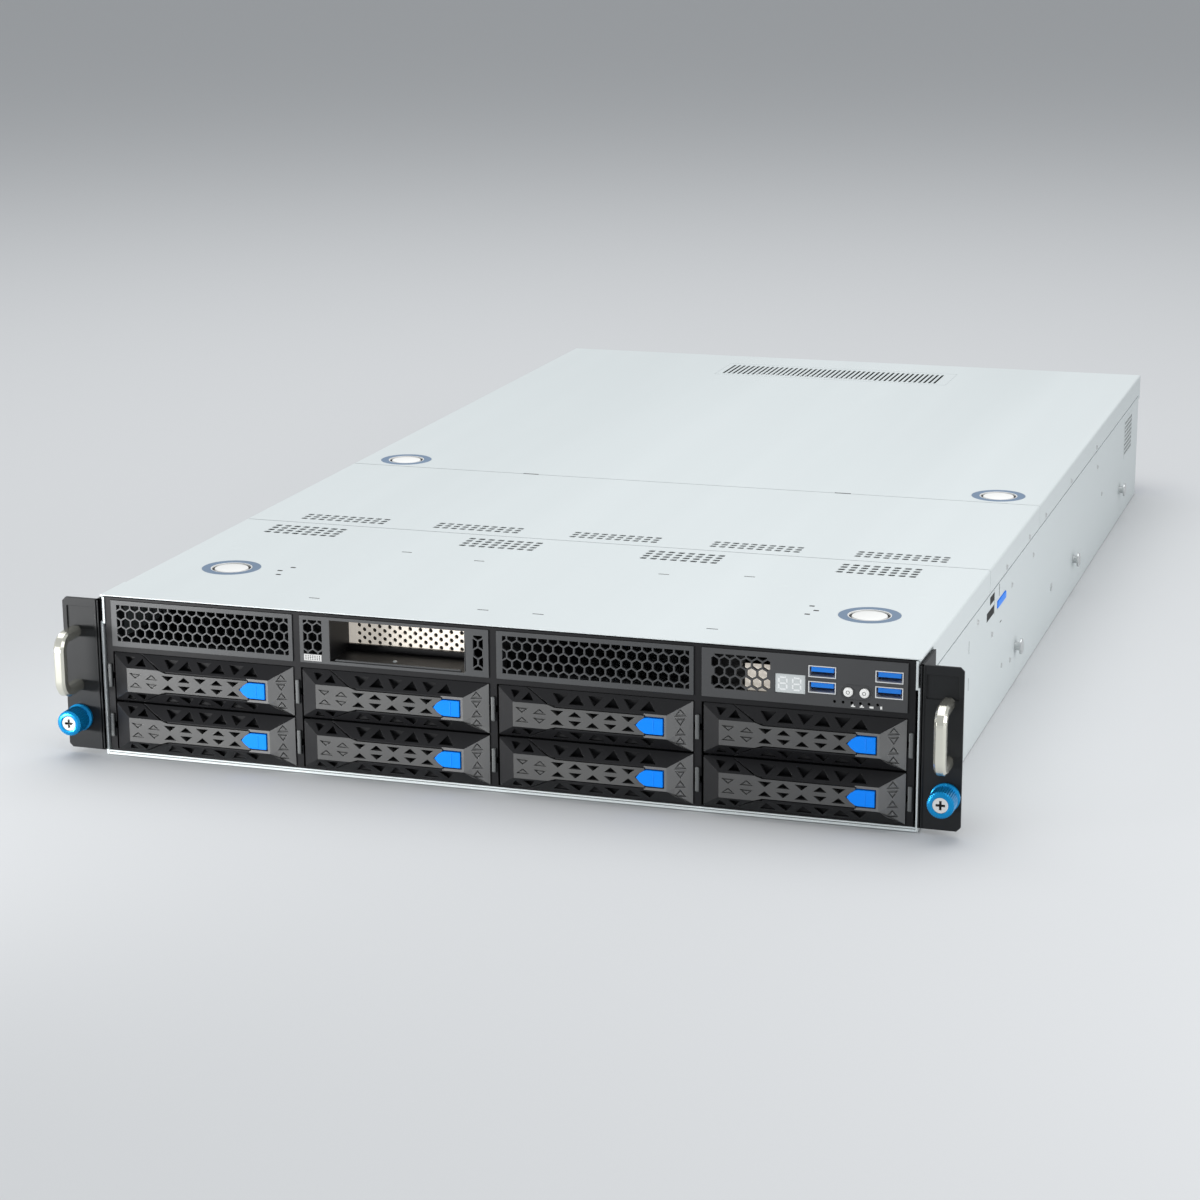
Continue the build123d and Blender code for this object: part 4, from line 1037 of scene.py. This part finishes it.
for side, node in ((-1, "left_thumbscrew"), (1, "right_thumbscrew")):
    place = at(side * screw_x, 0, screw_z) @ FRONT_VIEW
    knob = bmesh.new()
    turned_bar(knob, ((mouth_radius, 14.6), (mouth_radius, 15.6), (4.6, 15.8), (5.6, 15.6), (6.85, 14.9),
                      (6.85, 5.4), (6.3, 4.9), (6.3, 4.3), (7.35, 3.6), (7.35, 2.0), (7.0, 1.87),
                      (3.0, 1.87), (3.0, 14.6), (mouth_radius, 14.6)), knob_steps, Matrix())
    for corner in knob.verts:
        if 5.5 < corner.co.z < 14.8 or 6.8 < corner.co.xy.length < 6.9:
            if round(math.atan2(corner.co.y, corner.co.x) / math.tau * knob_steps) % 2:
                corner.co.xy *= knurl_depth
    bmesh.ops.transform(knob, matrix=place, verts=knob.verts[:])
    piece(knob, node + "_knob", node, knob_blue, (node,))
    core = bmesh.new()
    cross_head(core, head_radius, 1.6, place @ at(0, 0, 15.35))
    turned_bar(core, ((0, -11.9), (2.3, -11.9), (2.85, -11.2), (2.85, -0.3), (2.3, -0.25), (2.3, 1.8),
                      (3.1, 1.9), (3.1, 13.0), (0, 13.0)), 24, place)
    piece(core, node + "_core", node, bright)
    # A dark disc of painted shade at the bottom of the knob's mouth.
    recess = bmesh.new()
    turned_bar(recess, ((0, 13.7), (3.7, 13.7), (3.7, 13.1), (0, 13.1)), 24, place)
    piece(recess, node + "_recess", node, dark)

# Side fittings: round-headed steel studs for the slide rails, pressed bumps, and narrow slits and the
# two windows at the front seam, drawn as dark sheets of painted shade, with the blue latch of the front
# cover beside them.
stud_z = 21.6
bump_z = 77
stud_first = 57.0
stud_pitch = 216.0
mesh_first = (724.0, 44.3)
mesh_pitch = (4.0, 3.1)
SIDE_VIEW = Matrix(((0, 0, 1, 0), (1, 0, 0, 0), (0, 1, 0, 0), (0, 0, 0, 1)))
stud_paint = finish_paint("stud_steel", (0.62, 0.64, 0.64), (0.54, 0.56, 0.56), 0.7, (0.24, 0.34),
                          edge=0.0002)
studs = bmesh.new()
for i in range(4):
    stud = bmesh.new()
    turned_bar(stud, ((0, 4.55), (3.6, 4.55), (4.4, 4.2), (4.55, 3.8), (4.55, 3.05), (2.45, 3.0),
                      (2.45, 0.0), (0, 0.0)), 32,
               at(half_width, stud_first + i * stud_pitch, stud_z) @ SIDE_VIEW)
    both_sides(studs, stud)
piece(studs, "rail_stud_heads", CASE, stud_paint, ("rail_studs",), smooth=True)


def side_bump(whole, y, z):
    """A low round bump on both side walls."""
    bump = bmesh.new()
    turned_bar(bump, ((0, 0.8), (1.0, 0.65), (1.7, 0.0)), 16, at(half_width, y, z) @ SIDE_VIEW)
    both_sides(whole, bump)


bumps = bmesh.new()
for y, z in ((328.0, 62.4), (255.2, 62.1), (255.8, 17.8), (227.4, 22.5), (194.0, 49.2), (149.9, 67.5),
             (613.0, 38.2), (588.0, 62.0)):
    side_bump(bumps, y, z)
screw = bmesh.new()
cross_head(screw, 2.6, 0.5, at(half_width + 0.45, 401, 25) @ SIDE_VIEW)
both_sides(bumps, screw)
piece(bumps, "side_bumps", CASE, stud_paint)
for name, body, rows in (("centre_bridge", CASE, (236.6, 312.3)),
                         ("rear_cover", "rear_cover", (370.7, 470.4, 580.5))):
    bumps = bmesh.new()
    for y in rows:
        side_bump(bumps, y, bump_z)
    piece(bumps, name + "_bumps", body, stud_paint)

slit_shade = bmesh.new()
for y0, y1, z0, z1 in ((186, 199, 67.5, 72), (177, 199, 60.2, 65), (214, 215, 66, 73),
                       (219, 224, 49.3, 49.9), (125.7, 126.3, 56.5, 63.5), (126.3, 126.9, 36.1, 43.1),
                       (199.6, 200, 59, 73)):
    both_sides(slit_shade, blocks((half_width - 0.1, half_width + 0.03, y0, y1, z0, z1)))
piece(slit_shade, "side_slit_shade", CASE, dark)

mesh_shade = blocks(*[(side * (half_width - 0.1), side * (half_width + 0.02), 721.5, 758.5, 41.5, 68.5)
                      for side in (-1, 1)])
piece(mesh_shade, "side_vent_shade", CASE, dark)
drawing = sheet(720.5, 759.5, 40.5, 69.5)
for column in range(9):
    for row in range(8):
        rim(drawing, mesh_first[0] + column * mesh_pitch[0], mesh_first[1] + row * mesh_pitch[1],
            1.0, 8, 22.5, (0.55, 0.1))
fill(drawing, 0.16)
bmesh.ops.transform(drawing, matrix=at(half_width + 0.18, 0, 0) @ SIDE_VIEW, verts=drawing.verts[:])
mesh_skin = bmesh.new()
both_sides(mesh_skin, drawing)
piece(mesh_skin, "side_vent_mesh", CASE, steel)

for side, node in ((1, "cover_latch_right"), (-1, "cover_latch_left")):
    latch = blocks((side * 218.6, side * (half_width + 0.55), 209.1, 234.9, 60.1, 63.9, 0.3),
                   (side * 217.0, side * 218.5, 207.2, 236.8, 58.2, 65.8))
    piece(latch, node + "_tab", node, latch_blue, (node,))

# Thumb recesses of the covers: a printed blue-grey ring, a steel edge painted pale as a painted
# highlight and a pale pressed disc over a dark sheet of painted shadow in its recess. Small punched
# slots and slits, drawn as dark marks of painted shade, and weld marks lie beside them.
ring_paint = finish_paint("ring_print", (0.16, 0.24, 0.36), (0.14, 0.21, 0.31), 0.1, (0.4, 0.5))
disc_paint = finish_paint("recess_disc", (0.90, 0.90, 0.88), (0.84, 0.84, 0.82), 0.1, (0.4, 0.5))
dimple_radius = 11.4
ring_outer = dimple_ring - 0.05
ring_profile = ((dimple_radius, -0.9), (dimple_radius, -0.03), (ring_outer, -0.03), (ring_outer, -0.9),
                (dimple_radius, -0.9))
edge_profile = ((10.7, -0.9), (10.8, -0.05), (11.0, -0.01), (11.35, -0.01), (11.35, -0.9), (10.7, -0.9))
shade_profile = ((0, -0.85), (10.75, -0.85), (10.75, -0.95), (0, -0.95))
disc_profile = ((0, -0.12), (8.6, -0.12), (9.1, -0.25), (9.3, -0.9), (0, -0.9))
weld_profile = ((0, 0.14), (2.0, 0.1), (3.2, 0.0))
weld_spots = ((-17.5, 43.5), (56.8, 46.9), (48.0, -43.9))
slot_spots = [(across, back, 1.4, 1.0) for across, back in ((28.3, 1.1), (32.5, 9.4), (31.0, -7.1))]
slit_spots = [(across, back, 3, 0.5) for across, back in
              ((79.2, 59.9), (69.8, -48.3), (125.0, 52.0), (163.0, -46.0))]
frame_x = (-84.4, 89.4)
frame_y = (720.5, 766.5)
for body, spots in (("front_cover", front_dimples), ("rear_cover", rear_dimples)):
    rings, edges, shades, discs, welds = [bmesh.new() for _ in range(5)]
    for x, y in spots:
        inward = -math.copysign(1, x)
        for whole, profile in ((rings, ring_profile), (edges, edge_profile), (shades, shade_profile),
                               (discs, disc_profile)):
            turned_bar(whole, profile, 48, at(x, y, case_top))
        if body == "front_cover":
            for across, back in weld_spots:
                turned_bar(welds, weld_profile, 24,
                           at(x + inward * across, y + back, case_top) @ Matrix.Diagonal((1, 0.6, 1, 1)))
            for across, back, half_long, half_wide in slot_spots + slit_spots:
                slab(shades, x + inward * (across - half_long), x + inward * (across + half_long),
                     y + back - half_wide, y + back + half_wide, case_top - 0.2, case_top + 0.015)
    piece(rings, body + "_rings", body, ring_paint)
    # The steel edge takes the disc's pale paint, lighter than the cover steel: a painted highlight.
    piece(edges, body + "_edges", body, disc_paint, smooth=True)
    piece(discs, body + "_discs", body, disc_paint, smooth=True)
    if body == "rear_cover":
        for x in frame_x:
            slab(welds, x - 0.25, x + 0.25, *frame_y, case_top - 0.1, case_top + 0.12)
        for y in frame_y:
            slab(welds, *frame_x, y - 0.25, y + 0.25, case_top - 0.1, case_top + 0.12)
        # Two dark marks of painted shade in the gap at the rear seam.
        for x in (-100.0, 100.0):
            slab(shades, x - 5, x + 5, rear_seam + 0.2, rear_seam + 1.3, case_top - 0.3,
                 case_top + 0.015)
    piece(shades, body + "_shades", body, dark)
    piece(welds, body + "_welds", body, steel, smooth=True)

# Rear wall: folded steel with pierced card-slot blades held by one screw each, round the sockets
# and the bays of the two power supplies.
wall_half = 217.4
wall_sheet = 1.2
card_x = (-150.0, -28.0)
card_z = [34.0 + i * 20.32 for i in range(3)]
card_half = 50.0
card_half_tall = 6.0
blade_hole_x = 44.0
blade_hole_pitch = 3.8
blade_half = card_half + 1.9
blade_half_tall = card_half_tall + 1.9
supply_left = 142.0
supply_right = 215.5
supply_tall = 39.8
supply_low = (1.45, 42.95)
rear_wall = bmesh.new()
plate = sheet(-wall_half, wall_half, 1.25, 86.75)
for low in supply_low:
    oblong(plate, supply_left - 0.25, supply_right + 0.25, low - 0.2, low + supply_tall + 0.2)
for x in card_x:
    for z in card_z:
        oblong(plate, x - card_half, x + card_half, z - card_half_tall, z + card_half_tall)
        blade = sheet(x - blade_half, x + blade_half, z - blade_half_tall, z + blade_half_tall)
        for column in range(24):
            for row in (-1, 1):
                rim(blade, x - blade_hole_x + column * blade_hole_pitch + (row + 1) * 0.95,
                    z + row * 1.9, 1.4, 8)
        standing(rear_wall, blade, wall_sheet - 0.02, 0, case_rear - 2 * wall_sheet, 0)
        cross_head(rear_wall, 2.8, 0.9,
                   at(x + card_half - 4.2, case_rear - 0.2, z) @ FRONT_VIEW @ turn(180, "X"))
for x, wide, tall in rear_sockets:
    oblong(plate, x - wide / 2 - 0.1, x + wide / 2 + 0.1,
           rear_socket_z - tall / 2 - 0.1, rear_socket_z + tall / 2 + 0.1)
standing(rear_wall, plate, wall_sheet, 0, case_rear - wall_sheet, 0)
piece(rear_wall, "rear_wall", CASE, steel, ("rear_panel",))

# Power supplies: bare sheet boxes with a black moulded face at the rear that holds the mains
# inlet, a fixed pull loop and a blue squeeze tab, with honeycomb air holes above and below.
supply_steel = finish_paint("supply_steel", (0.60, 0.61, 0.61), (0.50, 0.51, 0.51), 0.75, (0.34, 0.48),
                            grain=1500.0, relief=0.15, streak=0.08)
face_black = finish_paint("supply_face", (0.03, 0.03, 0.031), (0.022, 0.022, 0.023), 0.0, (0.38, 0.5),
                          grain=2200.0, relief=0.3)
supply_long = 185.0
inlet_x = supply_left + 21.7
loop_x = supply_right - 24.0
loop_rear = case_rear + 29.9
loop_half = 13.5
loop_bar = 5.0
pin_step = 7
for level, low in enumerate(supply_low, 1):
    node = f"power_supply_{level}"
    middle = low + supply_tall / 2
    box = blocks((supply_left, supply_right, case_rear - supply_long, case_rear - 1.4,
                  low, low + supply_tall, 0.5))
    piece(box, f"supply_box_{level}", node, supply_steel, (node,))
    face = bmesh.new()
    plate = sheet(supply_left + 0.1, supply_right - 0.1, low + 0.1, low + supply_tall - 0.1)
    oblong(plate, inlet_x - 13.7, inlet_x + 13.7, middle - 10.1, middle + 10.1)
    for strip in ((-18.2, -11.4), (11.4, 18.2)):
        honeycomb(plate, supply_left + 3, supply_right - 3, middle + strip[0], middle + strip[1])
    standing(face, plate, 1.3, 0, case_rear - 1.3, 0)
    for z in (middle - loop_half, middle + loop_half - loop_bar):
        slab(face, loop_x, loop_x + loop_bar, case_rear - 0.5, loop_rear, z, z + loop_bar, 0.9)
    slab(face, loop_x, loop_x + loop_bar, loop_rear - loop_bar, loop_rear, middle - loop_half,
         middle + loop_half, 0.9)
    piece(face, f"supply_face_{level}", node, face_black)
    # The inlet is drawn in the near-black deep_shadow paint: partly its own black plastic, partly
    # painted shade inside it.
    inlet = bmesh.new()
    box_rim(inlet, inlet_x - 13.6, inlet_x + 13.6, case_rear - 1.35, case_rear - 0.05,
            middle - 10.0, middle + 10.0, 1.4)
    slab(inlet, inlet_x - 12.4, inlet_x + 12.4, case_rear - 1.39, case_rear - 1.2,
         middle - 8.8, middle + 8.8)
    piece(inlet, f"supply_inlet_{level}", node, dark)
    pins = bmesh.new()
    for i in (-1, 0, 1):
        pin_x = inlet_x + i * pin_step
        pin_z = middle + (abs(i) - 0.5) * 6
        slab(pins, pin_x - 1, pin_x + 1, case_rear - 1.3, case_rear - 0.3, pin_z - 2.5, pin_z + 2.5, 0.2)
    piece(pins, f"supply_pins_{level}", node, bright)
    tab = blocks((supply_right - 9.45, supply_right - 6.05, case_rear + 0.3, case_rear + 12.2,
                  middle - 10.9, middle + 10.9, 0.7))
    node = f"supply_latch_{level}"
    piece(tab, f"supply_tab_{level}", node, latch_blue, (node,))

# Inside: green glass-fibre boards with rows of dark parts and pale track lines, finned aluminium
# coolers, memory modules and black fan mouldings, seen through the vents and with the covers lifted.
board = finish_paint("green_board", (0.03, 0.16, 0.07), (0.02, 0.12, 0.05), 0.0, (0.3, 0.4), relief=0.1)
tree = board.node_tree
base = tree.nodes["Principled BSDF"].inputs["Base Color"]
mask = base.links[0].from_socket
place = tree.nodes.new("ShaderNodeTexCoord")
parts = tree.nodes.new("ShaderNodeTexBrick")
settings(parts, {"Scale": 60.0, "Mortar Size": 0.03, "Color1": (0.02, 0.02, 0.02, 1),
                 "Mortar": (0.35, 0.42, 0.22, 1)})
tree.links.new(place.outputs["Object"], parts.inputs["Vector"])
tree.links.new(mask, parts.inputs["Color2"])
tree.links.new(parts.outputs["Color"], base)
sink = finish_paint("sink_aluminium", (0.72, 0.73, 0.73), (0.62, 0.63, 0.63), 0.85, (0.3, 0.42),
                    grain=1500.0, relief=0.12, streak=0.1)
fan_paint = finish_paint("fan_black", (0.022, 0.022, 0.022), (0.015, 0.015, 0.015), 0.0, (0.4, 0.5),
                         grain=1800.0, relief=0.2)
wear(board, "motherboard", "drive_backplane", "memory_modules", "riser_cards")
wear(sink, "cpu_heatsinks")
wear(fan_paint, "fan_frames", *[f"fan_rotor_{i + 1}" for i in range(5)])
